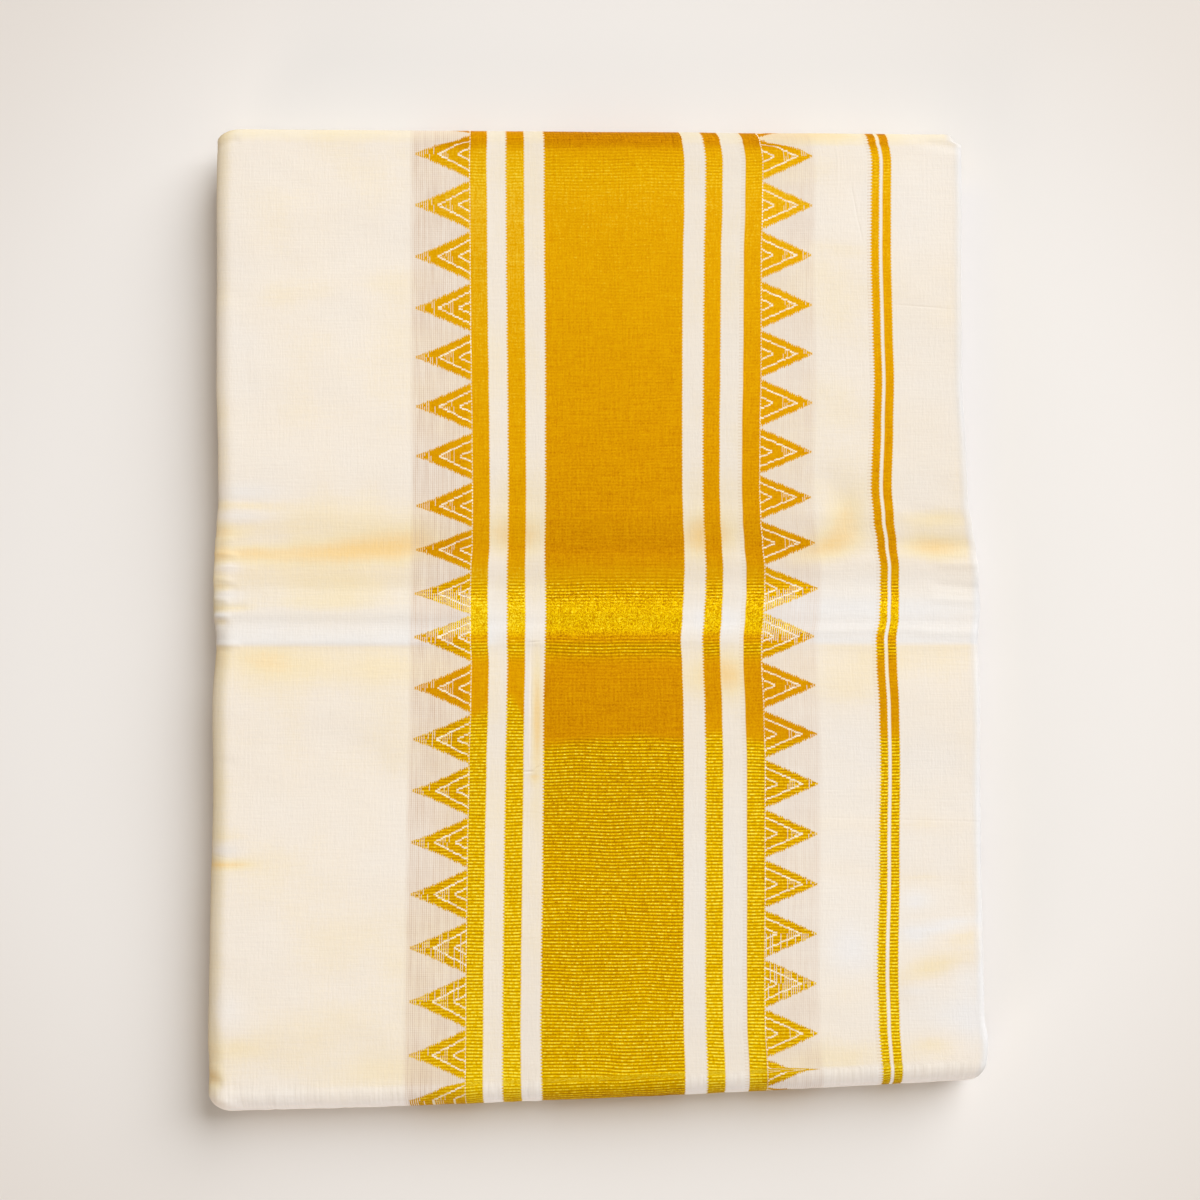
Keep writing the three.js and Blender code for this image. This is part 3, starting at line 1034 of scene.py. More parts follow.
    def fine_folds(self) -> Socket:
        """Height of the fine folds, each the exponential of minus the squared distance in half sizes, and of
        the pleats at the front.

        Returns:
            The height in millimetres.
        """
        add, across, along = self.shader.add, self.across, self.along
        place = add("CombineXYZ", across, along, 0.0)
        total: Value = 0.0
        for line in FINE_FOLDS:
            dx, dy = line.end_x - line.start_x, line.end_y - line.start_y
            middle = ((line.start_x + line.end_x) / 2, (line.start_y + line.end_y) / 2, 0.0)
            turn = (0.0, 0.0, math.atan2(dy, dx))
            size = (self.fold_reach * math.hypot(dx, dy), self.fold_half, 1.0)
            on_line = add("Mapping", place, middle, turn, size, vector_type="TEXTURE")
            squared = add("VectorMath", on_line, on_line, output=1, operation="DOT_PRODUCT")
            swell = add("POWER", math.exp(-1.0), squared)
            total = add("MULTIPLY_ADD", swell, line.rise, total)
        pleat_at = add("CombineXYZ", across, add("MULTIPLY", along, 0.10), 0.0)
        pleats = add("TexNoise", pleat_at, named={"Scale": 0.6, "Detail": 1.0})
        pleats = add("SUBTRACT", pleats, 0.5)
        at_front = add("MapRange", along, -182.0, -192.0)
        return add("MULTIPLY_ADD", add("MULTIPLY", pleats, at_front), 0.5, total)

    def rib_place(self) -> Socket:
        """Length along the bands for the ribs, which waver a little.

        Returns:
            The length.
        """
        add, across, along = self.shader.add, self.across, self.along
        wander_at = add("CombineXYZ", across, add("MULTIPLY", along, 0.6), 0.0)
        wander = add("TexNoise", wander_at, named={"Scale": self.wander_scale, "Detail": 1.0})
        return add("MULTIPLY_ADD", wander, self.wander, along)

    def threads(self) -> Socket:
        """Height of the weave: slubs that run along warp and weft, each a noise stretched along its thread.

        Returns:
            The height, about -0.3 to 0.3.
        """
        add, across, along = self.shader.add, self.across, self.along
        total: Value = 0.0
        for over, stretched, stretch in ((across, along, 0.07), (along, across, 0.07), (across, along, 0.45)):
            place = add("CombineXYZ", over, add("MULTIPLY", stretched, stretch), 0.0)
            slub = add("TexNoise", place, named={"Scale": 1.15, "Detail": 2.0, "Roughness": 0.6})
            total = add("ADD", total, add("SUBTRACT", slub, 0.5))
        return total

    def bands(self, tooth: Socket) -> tuple[Socket, Socket, Socket]:
        """Masks of the gold bands, with weft threads that stand out, of the stray gilt fibres along their
        edges, and of the ticks beside them.

        Args:
            tooth: distance from the nearest furrow between two ribs.

        Returns:
            The masks of the gold, of its fibres and of the ticks.
        """
        add, across = self.shader.add, self.across
        toothed = add("MULTIPLY_ADD", tooth, self.tooth_reach, add("SUBTRACT", across, self.tooth_back))
        right = add("MULTIPLY_ADD", tooth, -self.right_reach, add("ADD", across, self.right_back))
        crest = add("GREATER_THAN", tooth, self.crest_from)
        mask: Value = 0.0
        fringe: Value = 0.0
        ticks: Value = 0.0
        for band in BANDS:
            edge = toothed if band.toothed else across
            after = add("GREATER_THAN", edge, band.left)
            before = add("LESS_THAN", right, band.right)
            mask = add("MULTIPLY_ADD", after, before, mask)
            near_left = add("COMPARE", edge, band.left, self.fringe)
            near_right = add("COMPARE", right, band.right, self.fringe)
            fringe = add("ADD", fringe, add("ADD", near_left, near_right))
            if band.ticked:
                beside = add("COMPARE", across, band.left - self.tick_half, self.tick_half)
                ticks = add("MULTIPLY_ADD", beside, crest, ticks)
        return mask, add("MULTIPLY", fringe, self.fringe_cover), add("MULTIPLY", ticks, self.tick_cover)

    def temples(
        self, left_step: Socket, right_step: Socket, glint: Socket
    ) -> tuple[Socket, Socket, Socket, Socket]:
        """The temple triangles and the sheer ground they stand on.

        A triangle's half width falls from its base to its tip as a power of the distance left. Each warp
        thread ends a little earlier or later, by a random amount, so that the flanks and the pale lines go
        in small steps, and the gaps between the threads show as the teeth of a comb.

        Args:
            left_step: the left row's count of triangles, whole at each tip.
            right_step: the right row's count.
            glint: 1 where the threads have spread, at the storage crease.

        Returns:
            Masks of the gold, of the fibres at its edges, of the ground, and of the pale lines.
        """
        add, across, along = self.shader.add, self.across, self.along
        t = TEMPLE  # its sizes stand in nearly every line below
        middle = (t.left_base + t.right_base) / 2
        half = (t.right_base - t.left_base) / 2
        off = add("SUBTRACT", across, middle)
        right = add("GREATER_THAN", off, 0.0)
        out = add("SUBTRACT", add("ABSOLUTE", off), half)
        whole = self.by_side(right, t.left_length, t.right_length)
        past_base = add("GREATER_THAN", out, 0.0)
        left_part = add("MULTIPLY", left_step, add("SUBTRACT", 1.0, right))
        step = add("MULTIPLY_ADD", right_step, right, left_part)
        count = add("ROUND", step)
        from_axis = add("SUBTRACT", step, count)
        upper = add("SIGN", from_axis)
        from_axis = add("MULTIPLY", add("ABSOLUTE", from_axis), t.pitch)

        thread = add("DIVIDE", out, self.thread)
        thread_no = add("FLOOR", thread)
        gap = add("GREATER_THAN", add("FRACT", thread), t.gap_from)
        thread_at = add("MULTIPLY_ADD", thread_no, self.thread, self.thread / 2)
        row = add("MULTIPLY_ADD", upper, 0.31, add("MULTIPLY_ADD", right, 37.0, count))
        random = add("TexWhiteNoise", add("CombineXYZ", thread_no, row, 0.0))
        other = add("TexWhiteNoise", add("CombineXYZ", thread_no, row, 5.0))

        left_over = add("SUBTRACT", 1.0, add("DIVIDE", thread_at, whole))
        left_over = add("MAXIMUM", left_over, 0.0)
        hollow = self.by_side(right, t.left_hollow, t.right_hollow)
        flank = add("MULTIPLY", add("POWER", left_over, hollow), t.half_base)
        comb = add("MULTIPLY_ADD", random, t.comb_random, t.comb_even)
        comb = add("MULTIPLY_ADD", gap, -t.comb_depth, comb)
        to_tip = add("MINIMUM", add("MULTIPLY", left_over, 5.0), 1.0)
        comb = add("MULTIPLY", comb, to_tip)
        comb = add("ADD", comb, t.tip_half)
        edge = add("SUBTRACT", add("ADD", flank, comb), from_axis)
        solid = add("MULTIPLY", add("GREATER_THAN", edge, 0.0), past_base)
        solid = add("MULTIPLY", solid, add("GREATER_THAN", left_over, 0.0))
        tip_reach = add("MULTIPLY_ADD", random, 0.30, self.by_side(right, 0.12, -0.06))
        near_tip = add("LESS_THAN", left_over, tip_reach)
        spread = add("MULTIPLY", add("COMPARE", along, t.thin_y, t.thin_half), t.thin)
        spread = add("GREATER_THAN", add("MAXIMUM", glint, spread), other)
        broken = add("MULTIPLY", add("MAXIMUM", near_tip, spread), gap)
        solid = add("MULTIPLY", solid, add("SUBTRACT", 1.0, broken))

        lines: Value = 0.0
        chevron = self.by_side(right, t.left_chevron, t.right_chevron)
        for length, half_height in ((chevron, t.chevron_half), (t.core_length, t.core_half)):
            part = add("SUBTRACT", 1.0, add("DIVIDE", thread_at, length))
            fall = add("MULTIPLY_ADD", random, 0.5, add("MULTIPLY", part, half_height))
            on_line = add("COMPARE", from_axis, fall, t.line)
            short = add("GREATER_THAN", part, -0.07)
            lines = add("MAXIMUM", lines, add("MULTIPLY", on_line, short))
        dots = add("GREATER_THAN", add("PINGPONG", along, t.dot_pitch), t.dot_from)
        base_line = add("COMPARE", out, t.base_line, t.base_line_half)
        lines = add("MAXIMUM", lines, add("MULTIPLY", base_line, dots))
        hatch_middle = self.by_side(right, t.left_hatch, t.right_hatch)
        hatched = add("COMPARE", out, hatch_middle, t.hatch_half)
        beyond_line = add("MULTIPLY_ADD", out, -0.5, t.chevron_half + 0.6)
        within = add("LESS_THAN", from_axis, beyond_line)
        hatched = add("MULTIPLY", add("MULTIPLY", hatched, within), gap)
        hatched = add("MULTIPLY", hatched, add("GREATER_THAN", other, 0.35))
        lines = add("MAXIMUM", lines, add("MULTIPLY", hatched, 0.7))
        lines = add("MULTIPLY", lines, add("MULTIPLY_ADD", other, 0.35, 0.65))
        gold = add("MULTIPLY", solid, add("SUBTRACT", 1.0, lines))
        fade = add("MULTIPLY_ADD", add("SUBTRACT", whole, out), 1.0 / t.ground_fade, 1.0)
        ground = add("MULTIPLY", past_base, fade, use_clamp=True)
        fringe = add("COMPARE", edge, 0.0, self.fringe)
        fringe = add("MULTIPLY", fringe, add("GREATER_THAN", left_over, 0.0))
        fringe = add("MULTIPLY", fringe, add("MULTIPLY", past_base, self.fringe_cover))
        return gold, fringe, ground, add("MULTIPLY", lines, solid)

    def by_side(self, right: Socket, on_left: float, on_right: float) -> Socket:
        """One value on the left row of triangles and another on the right."""
        return self.shader.add("MULTIPLY_ADD", right, on_right - on_left, on_left)

    def zari(
        self, place: Socket, ribs: Socket, glint: Socket, light: Socket, threads: Socket
    ) -> tuple[Socket, Socket]:
        """Height and colour of the gold.

        It is a plain matt weave, with ribs where the weft stands out, painted lighter on their crests and
        darker in their furrows, with short bright dashes on the crests as painted highlights, and with a maze
        of crinkles of painted
        glints at the storage crease: the sine of a noise, so that it runs along the noise's contours.

        Args:
            place: length along them, as the ribs have it.
            ribs: how strongly the weft stands out as ribs and is painted with their light, shade and glints,
                0 to 1.
            glint: how much it is crinkled and painted with glints, 0 to 1.
            light: painted light and shade of the place, as a brightness, 1 where it is plain.
            threads: the weave's height.

        Returns:
            The ribs' height from -1 to 1, and the colour.
        """
        add, across = self.shader.add, self.across
        wave = add("SINE", add("MULTIPLY_ADD", place, math.tau / self.rib, -math.pi / 2))
        rib_no = add("FLOOR", add("DIVIDE", place, self.rib))
        dash_across = add("MULTIPLY", across, 0.7)
        dash_at = add("CombineXYZ", dash_across, add("MULTIPLY", rib_no, 1.7), 0.0)
        # painted highlights: short bright dashes on the ribs' crests
        dash = add("TexNoise", dash_at, named={"Scale": 1.0, "Detail": 2.0, "Roughness": 0.75})
        dash = add("SUBTRACT", dash, 0.5)
        crest = add("MAXIMUM", wave, 0.0)
        dash = add("MULTIPLY", add("MULTIPLY", dash, crest), self.dash_shade)
        ribbed = add("MULTIPLY", add("MULTIPLY_ADD", wave, self.rib_shade, dash), ribs)
        grain_at = add("CombineXYZ", across, place, 0.0)
        grain = add("TexNoise", grain_at, named={"Scale": 1.5, "Detail": 1.0})
        grain = add("MULTIPLY", add("SUBTRACT", grain, 0.5), self.grain_shade)
        # painted glints: a maze of crinkles at the storage crease
        maze = add("TexNoise", grain_at, named={"Scale": self.maze_scale, "Detail": 1.0, "Distortion": 0.6})
        maze = add("SINE", add("MULTIPLY", maze, self.maze_turns))
        maze = add("MULTIPLY", add("MULTIPLY", maze, glint), self.maze_shade)
        lit = add("MULTIPLY_ADD", light, self.light_shade, self.plain_shade - self.light_shade)
        value = add("ADD", add("ADD", ribbed, grain), add("ADD", maze, lit))
        value = add("MULTIPLY_ADD", threads, self.slub_shade, value)
        value = add("MULTIPLY_ADD", glint, self.glint_shade, value)
        yellow = add("MAXIMUM", ribs, glint)
        plain, ribbed = (self.shader.graded(value, shades) for shades in (PLAIN_ZARI, RIBBED_ZARI))
        gold = self.shader.layered(plain, (yellow, ribbed))
        height = add("MULTIPLY_ADD", wave, ribs, maze)
        return height, gold

    def cotton(self, tone_and_shade_warmth: Socket, shade: Socket, threads: Socket) -> Socket:
        """Ivory cotton, warmer in patches, with slubs along its threads, and painted light and shade in its
        tint and brightness.

        Args:
            tone_and_shade_warmth: from -1, coolest where it is lit, to 1, warmest in shade; painted light and
                shade, with uneven tone.
            shade: painted light and shade of the place, as a brightness that scales the colour.
            threads: the weave's height.

        Returns:
            The colour.
        """
        add, across, along = self.shader.add, self.across, self.along
        slub_at = add("CombineXYZ", add("MULTIPLY", across, 0.12), along, 0.0)
        slub = add("TexNoise", slub_at, named={"Scale": 1.1, "Detail": 2.0})
        cross_at = add("CombineXYZ", across, add("MULTIPLY", along, 0.12), 0.0)
        cross = add("TexNoise", cross_at, named={"Scale": 1.1, "Detail": 2.0})
        uneven = add("SUBTRACT", add("ADD", slub, cross), 1.0)
        value = add("MULTIPLY_ADD", tone_and_shade_warmth, 0.5, 0.5)
        value = add("MULTIPLY_ADD", uneven, self.cotton_uneven, value)
        shade = add("MULTIPLY_ADD", threads, self.cotton_slubs, shade)
        colour = self.shader.graded(value, COTTON_SHADES)
        return add("VectorMath", colour, named={"Scale": shade}, operation="SCALE")

    def sheer(self, cotton: Socket, ground: Socket) -> Socket:
        """The cotton with the open-woven ground of the temple rows, where beige warp threads stand out.

        Args:
            cotton: colour of the plain cotton.
            ground: 1 on the open-woven ground.

        Returns:
            The colour.
        """
        add, across, along = self.shader.add, self.across, self.along
        warp = add("PINGPONG", across, self.thread / 2)
        weft = add("PINGPONG", along, self.thread / 2)
        uneven_at = add("CombineXYZ", across, add("MULTIPLY", along, 0.05), 0.0)
        uneven = add("TexNoise", uneven_at, named={"Scale": 0.9, "Detail": 2.0})
        patch_at = add("CombineXYZ", across, along, 0.0)
        patchy = add("TexNoise", patch_at, named={"Scale": 0.08, "Detail": 2.0})
        depth = add("MULTIPLY_ADD", warp, 1.0, add("MULTIPLY", weft, self.sheer_weft))
        contrast = add("MULTIPLY_ADD", add("GREATER_THAN", across, 0.0), -self.sheer_right, 1.0)
        depth = add("MULTIPLY", depth, add("MULTIPLY_ADD", uneven, self.sheer_uneven, -0.2))
        depth = add("MULTIPLY", depth, contrast)
        depth = add("ADD", depth, add("MULTIPLY_ADD", patchy, self.sheer_patches, -0.10))
        depth = add("MULTIPLY", depth, ground, use_clamp=True)
        return self.shader.layered(cotton, (depth, linear(self.sheer_warp)))


@dataclass(frozen=True)
class PlainCotton:
    """Handloom cotton without zari, woven and washed: matt ivory with a faint grain of threads."""

    name: str
    shades: Shades = COTTON_SHADES
    thread: float = 0.84  # drawn coarser than the real 0.25 mm, which is too fine to show

    def material(self) -> bpy.types.Material:
        """Builds the finish from Object coordinates.

        Returns:
            The material.
        """
        shader = Shader(self.name)
        place = shader.add("TexCoord", output=3)
        in_mm = shader.add("VectorMath", place, named={"Scale": 1.0 / MM}, operation="SCALE")
        uneven = shader.add("TexNoise", in_mm, named={"Scale": 0.05, "Detail": 4.0})
        parts = shader.add("SeparateXYZ", in_mm).node.outputs
        warp = shader.add("SINE", shader.add("MULTIPLY", parts[0], math.tau / self.thread))
        weft = shader.add("SINE", shader.add("MULTIPLY", parts[1], math.tau / self.thread))
        threads = shader.add("MULTIPLY", shader.add("ADD", warp, weft), 0.012)
        value = shader.add("ADD", uneven, threads)
        colour = shader.graded(value, self.shades)
        bump = shader.add("Bump", named={"Height": threads, "Distance": MM, "Strength": 0.6})
        looks = {"Base Color": colour, "Roughness": 0.88, "Specular IOR Level": 0.03, "Normal": bump}
        return shader.finish(looks)


@dataclass(frozen=True)
class PaleFloor:
    """A pale studio floor: smooth painted board, matt. Its colour carries painted shade: darker away from the
    middle, and beside the pack's right side.
    """

    colour: str = "#e6e2de"
    far_painted_shade: str = "#dcd5ce"
    near: float = 0.22  # metres from the middle where the painted shade starts to darken it, and where it has
    far: float = 0.38
    beside_painted_shadow: str = "#dddbdc"
    side_x: float = 0.152  # the pack's right side, half its length, and how far the painted shadow beside it reaches
    side_half: float = 0.17
    side_reach: float = 0.022

    def material(self) -> bpy.types.Material:
        """Builds the finish.

        Returns:
            The material.
        """
        shader = Shader("matt_board_painted_shade")
        place = shader.add("TexCoord", output=3)
        away = shader.add("VectorMath", place, output=1, operation="LENGTH")
        reach = shader.add("MapRange", away, self.near, self.far, interpolation_type="SMOOTHSTEP")
        colour = shader.layered(linear(self.colour), (reach, linear(self.far_painted_shade)))
        parts = shader.add("SeparateXYZ", place).node.outputs
        past_end = shader.add("SUBTRACT", shader.add("ABSOLUTE", parts[1]), self.side_half)
        past_end = shader.add("MAXIMUM", past_end, 0.0)
        from_side = shader.add("CombineXYZ", shader.add("SUBTRACT", parts[0], self.side_x), past_end, 0.0)
        from_side = shader.add("VectorMath", from_side, output=1, operation="LENGTH")
        clear = shader.add("MapRange", from_side, 0.0, self.side_reach, interpolation_type="SMOOTHSTEP")
        colour = shader.layered(linear(self.beside_painted_shadow), (clear, colour))
        return shader.finish({"Base Color": colour, "Roughness": 0.9})


# ---------------------------------------------------------------------------------------------------
# Pieces
# ---------------------------------------------------------------------------------------------------


@dataclass(frozen=True)
class PalluFace:
    """The outermost leaf: up round the front turn, over the top and down round the back turn."""

    thickness: float = 0.45  # of one leaf, drawn a little thicker than cloth
    under_reach: float = 8.0  # how far it goes on below before the under leaf takes over
    groove_at: float = 18.7  # length along the fold line of the line that the pressed front edge shows
    groove_depth: float = 0.40
    groove_half: float = 0.55
    ripple: float = 0.14  # rise of the fine pleats beside the groove, which run round the turn
    ripple_cell: float = 3.4
    ripple_stretch: float = 0.15
    ripple_from: tuple[float, float] = (10.0, 16.0)  # length along the fold line where they come in
    ripple_to: tuple[float, float] = (34.0, 26.0)  # and where they have gone
    # Stretches of the level part between its two rolls, closest where it is creased
    level_stretches: ClassVar[Table] = (
        (-144.6, -138, 1.1), (-138, -118, 1.8), (-118, -31, 2.7), (-31, -19, 0.9), (-19, 120, 2.7),
        (120, 138, 1.8), (138, 148.5, 1.1),
    )
    # How far each band has wandered from straight: y, and the shift at each of wander_x
    wander_x: tuple[float, ...] = (-150.0, -44.0, -20.0, 35.0, 60.0, 113.0, 150.0)
    wander: Table = (
        (-200, 0, -0.4, -0.2, 0.2, 0.8, 0.9, 0), (-182, 0, -0.4, -0.5, 0.1, 0.6, 0.4, 0),
        (-163, 0, -0.3, -0.8, -0.4, -0.2, -0.8, 0), (-145, 0, -0.3, -0.6, -0.5, -0.2, -1.2, 0),
        (-100, 0, 0.0, -0.2, -0.2, 0.1, 0.2, 0), (-60, 0, 0.5, 0.0, 0.0, 0.3, 1.1, 0),
        (-40, 0, 1.1, 0.0, -0.1, -0.2, 0.8, 0), (-21, 0, 1.3, 0.4, -0.6, -0.9, -0.1, 0),
        (-12, 0, 0.8, 0.6, -1.1, -0.8, -0.2, 0), (-2, 0, 0.6, 0.8, -0.3, 0.1, 1.6, 0),
        (8, 0, 0.4, 0.6, 0.4, 0.8, 2.4, 0), (17, 0, 0.6, 0.4, 0.7, 0.8, 2.5, 0),
        (27, 0, 1.2, 0.3, 0.6, 0.0, 1.1, 0), (37, 0, 1.3, 0.5, 0.1, -0.7, -0.4, 0),
        (50, 0, 1.3, 0.6, -0.2, -1.0, -1.4, 0), (75, 0, 1.0, 0.5, -0.2, -0.8, -0.4, 0),
        (95, 0, 0.6, 0.5, -0.1, -0.3, 0.3, 0), (115, 0, 0.2, 0.3, 0.0, 0.0, -0.1, 0),
        (145, 0, -0.2, 0.0, 0.4, 0.3, -0.5, 0), (165, 0, -0.4, -0.2, 0.9, 1.0, -0.2, 0),
        (184, 0, -0.7, -0.2, 1.0, 1.3, 0.2, 0), (195, 0, -0.5, -0.4, 0.1, 0.1, -1.3, 0),
        (201, 0, -0.8, -0.9, -1.2, -1.5, -2.2, 0),
    )
    # Tips of the temple triangles: y, and the count of triangles from the back
    left_tips: Table = (
        (-195.6, 19), (-175.6, 18), (-112.7, 15), (-10.5, 10), (42.4, 7), (123.3, 3), (187.2, 0),
        (207.8, -1),
    )
    right_tips: Table = (
        (-206.0, 20), (-186.4, 19), (-108.7, 15), (-49.3, 12), (9.2, 9), (64.3, 6), (124.6, 3), (186.3, 0),
        (206.9, -1),
    )
    # Painted light and shade of the zari along y, as its brightness
    zari_light: Table = (
        (-199, 0.93), (-192, 1.02), (-186, 1.05), (-176, 1.00), (-158, 1.00), (-140, 0.96), (-60, 0.93),
        (-50, 0.92), (-20, 0.92), (-14, 0.90), (-10, 0.82), (-7, 0.87), (-3, 0.89), (2, 0.86), (6, 0.80),
        (9, 0.90), (12.5, 1.00), (16, 1.04), (20, 0.96), (25, 0.90), (34, 0.94), (60, 0.96), (90, 0.99),
        (140, 1.05), (170, 1.09), (188, 1.03), (192, 0.87), (199, 0.80),
    )
    # Narrow bands that are lighter: from and to x, how much lighter, and how much more so on the front half
    narrow_bands: Table = ((-51.5, -24, 0.09, 0.02), (39, 68, 0.02, 0.08), (108, math.inf, 0.02, 0.08))
    back_turn_shade_warmth: float = 0.32  # painted shade: a warmer tint on the back turn's right half
    strip_light: float = 0.05  # of the crumpled strip between the temple rows
    left_shade: float = 0.055  # of the storage crease on the left half
    glint_front: tuple[float, float] = (-14.0, -7.0)  # y where the crumpled strip's glints come in
    glint_back: tuple[float, float] = (5.0, 11.0)  # and where they end
    # Brightness of the cotton across the pack
    cotton_light: Table = (
        (-150, 0.0), (-60, -0.01), (-30, -0.058), (55, -0.058), (80, -0.025), (150, -0.025),
    )
    # Where the ribs start on the front half: x, and y there
    rib_start: Table = (
        (-72, -46), (-47, -43), (-33, -35), (-22, -55), (8, -51), (35, -52), (47, -49), (64, -54),
        (118, -51),
    )
    rib_least: float = 0.10  # strength of the ribs where the zari is plain, beside the crease and at the back
    rib_flanks: float = 0.8
    rib_back: float = 0.25
    level_x: Array = field(default_factory=lambda: stations(*PalluFace.level_stretches))

    def fold_stations(self) -> Array:
        """Places the rows along the fold line, close at the turns, the tuck and the storage crease.

        Returns:
            Lengths along the fold line.
        """
        start, end = PACK.top_start, PACK.top_end
        tuck, plain, crease, flat = (start - PACK.front_y + y for y in (-69, -58, -20, 50))
        return stations(
            (-self.under_reach, 0, 2.5),
            (0, 10, 2.5),
            (10, 16, 1.2),
            (16, 21, 0.42),
            (21, start, 1.0),
            (start, start + 24, 1.6),
            (start + 24, tuck, 2.7),
            (tuck, plain, 1.1),
            (plain, crease, 2.4),
            (crease, flat, 0.9),
            (flat, end - 22, 2.7),
            (end - 22, end, 1.5),
            (end, PACK.back_end, 1.4),
        )

    def build(self, material: bpy.types.Material) -> bpy.types.Object:
        """Builds the leaf with its relief and what its pattern needs.

        Args:
            material: its finish.

        Returns:
            The piece.
        """
        section = leaf_section(self.level_x)
        s, x = np.meshgrid(self.fold_stations(), section.x, indexing="ij")
        depth = np.broadcast_to(section.depth, s.shape)
        plain = PACK.place(s, x, depth)
        normals = grid_normals(plain)
        if normals[len(normals) // 2, normals.shape[1] // 2, 2] < 0:
            normals = -normals
        on_top = smoothstep(normals[..., 2], -0.2, 0.7)
        rise = cloth_relief(plain[..., 0], plain[..., 1]) * on_top + self.hem_line(s, x)
        outer = plain + normals * rise[..., None]
        inner = outer - grid_normals_like(outer, normals) * self.thickness
        return slab_object("pallu_face", outer, inner, material, self.pattern(outer, s, section))

    def hem_line(self, s: Array, x: Array) -> Array:
        """Rise over the front turn: the groove above the outermost edge, with a bell-shaped section.

        Args:
            s: length along the fold line.
            x: across the pack.

        Returns:
            Heights in millimetres.
        """
        at = self.groove_at + 0.4 * soft_noise(x, np.zeros_like(x), 21.0, 61)
        depth = self.groove_depth * (1.0 + 0.5 * soft_noise(x, np.zeros_like(x), 33.0, 62))
        ripple = self.ripple * soft_noise(x, s * self.ripple_stretch, self.ripple_cell, 63)
        ripple = ripple * smoothstep(s, *self.ripple_from) * smoothstep(s, *self.ripple_to)
        return ripple - depth * bell(s, at, self.groove_half)

    def pattern(self, points: Array, s: Array, section: Section) -> dict[str, Array]:
        """Coordinates and tones that the finish reads, with the painted light and shade of cotton and zari.

        Args:
            points: the outer face.
            s: length along the fold line.
            section: the leaf's section across the pack.

        Returns:
            The attributes "cloth", "motif" and "tone".
        """
        unrolled = s - PACK.top_start + PACK.front_y + PACK.centre_y
        y = np.where((s > PACK.top_start) & (s < PACK.top_end), points[..., 1], unrolled)
        x = points[..., 0]
        flat_x = np.broadcast_to(section.x, s.shape)
        band = x + section.across - section.x - self.band_shift(x, y)
        left = np.interp(y, *np.array(self.left_tips).T)
        right = np.interp(y, *np.array(self.right_tips).T)
        # the cotton's tint: painted shade (warmer) and painted light (cooler), with uneven tone
        patches = sum(patch.amount(x, y) for patch in TONE_AND_SHADE_PATCHES + CREASE_LIGHT_AND_SHADE_FRINGES)
        warm_tone_and_shade = patches + unevenness(x, y, UNEVEN_WARMTH) + sum(tone.at(x, y, flat_x) for tone in LIGHT_AND_SHADE_WARMTH)
        warm_tone_and_shade = warm_tone_and_shade + self.back_turn_shade_warmth * bell(x, 95, 28) * smoothstep(y, *BACK_ROLL)
        ribs = self.rib_strength(x, y)
        glint = smoothstep(y, *self.glint_front) * (1 - smoothstep(y, *self.glint_back))
        # painted light and shade of the cotton, as a brightness
        light = 1.0 + np.interp(x, *np.array(self.cotton_light).T)
        light = light + sum(tone.at(x, y, flat_x) for tone in LIGHT_TONES)
        light = light + sum(patch.amount(x, y) for patch in BRIGHT_PATCHES)
        light = light + sum(amount * bell(y, centre, half) for centre, half, amount in CREASE_LIGHT)
        between_rows = smoothstep(x, -58, -44) * smoothstep(x, 74, 62)
        light = light + self.strip_light * between_rows * bell(y, -3, 6)
        light = light - self.left_shade * smoothstep(x, 0, -60) * bell(y, -3.5, 4)
        zari_light = smooth_table(np.array(self.zari_light), 1, y)
        in_front = smoothstep(y, -30, -60)
        for from_x, to_x, everywhere, at_front in self.narrow_bands:
            zari_light = zari_light + (everywhere + at_front * in_front) * ((x > from_x) & (x < to_x))
        return {
            "cloth": np.stack([band, y, light], axis=-1),
            "motif": np.stack([left, right, glint], axis=-1),
            "tone": np.stack([np.clip(warm_tone_and_shade, -1, 1), ribs, zari_light], axis=-1),
        }

    def band_shift(self, x: Array, y: Array) -> Array:
        """How far the bands have wandered: smooth along the cloth and straight between the bands.

        Args:
            x: across the pack.
            y: along it.

        Returns:
            The shift in millimetres.
        """
        rows = np.array(self.wander)
        stops = self.wander_x
        total = np.zeros_like(y)
        for k in range(len(stops)):
            weight = np.interp(x, stops, np.eye(len(stops))[k])
            total += weight * smooth_table(rows, k + 1, y)
        return total

    def rib_strength(self, x: Array, y: Array) -> Array:
        """How strongly the zari is ribbed, and painted with the ribs' glints: the front half, and a strip on
        each flank of the crease.

        Args:
            x: across the pack.
            y: along it.

        Returns:
            Strengths from 0 to 1.
        """
        edge = np.interp(x, *np.array(self.rib_start).T) + 1.2 * soft_noise(x, np.zeros_like(x), 9.0, 31)
        front = smoothstep(edge - y, -3.0, 2.0)
        flanks = bell(y, 8, 5) + bell(y, -15, 4)
        back = bell(y, 180, 9)
        return np.clip(self.rib_least + front + self.rib_flanks * flanks + self.rib_back * back, 0, 1)


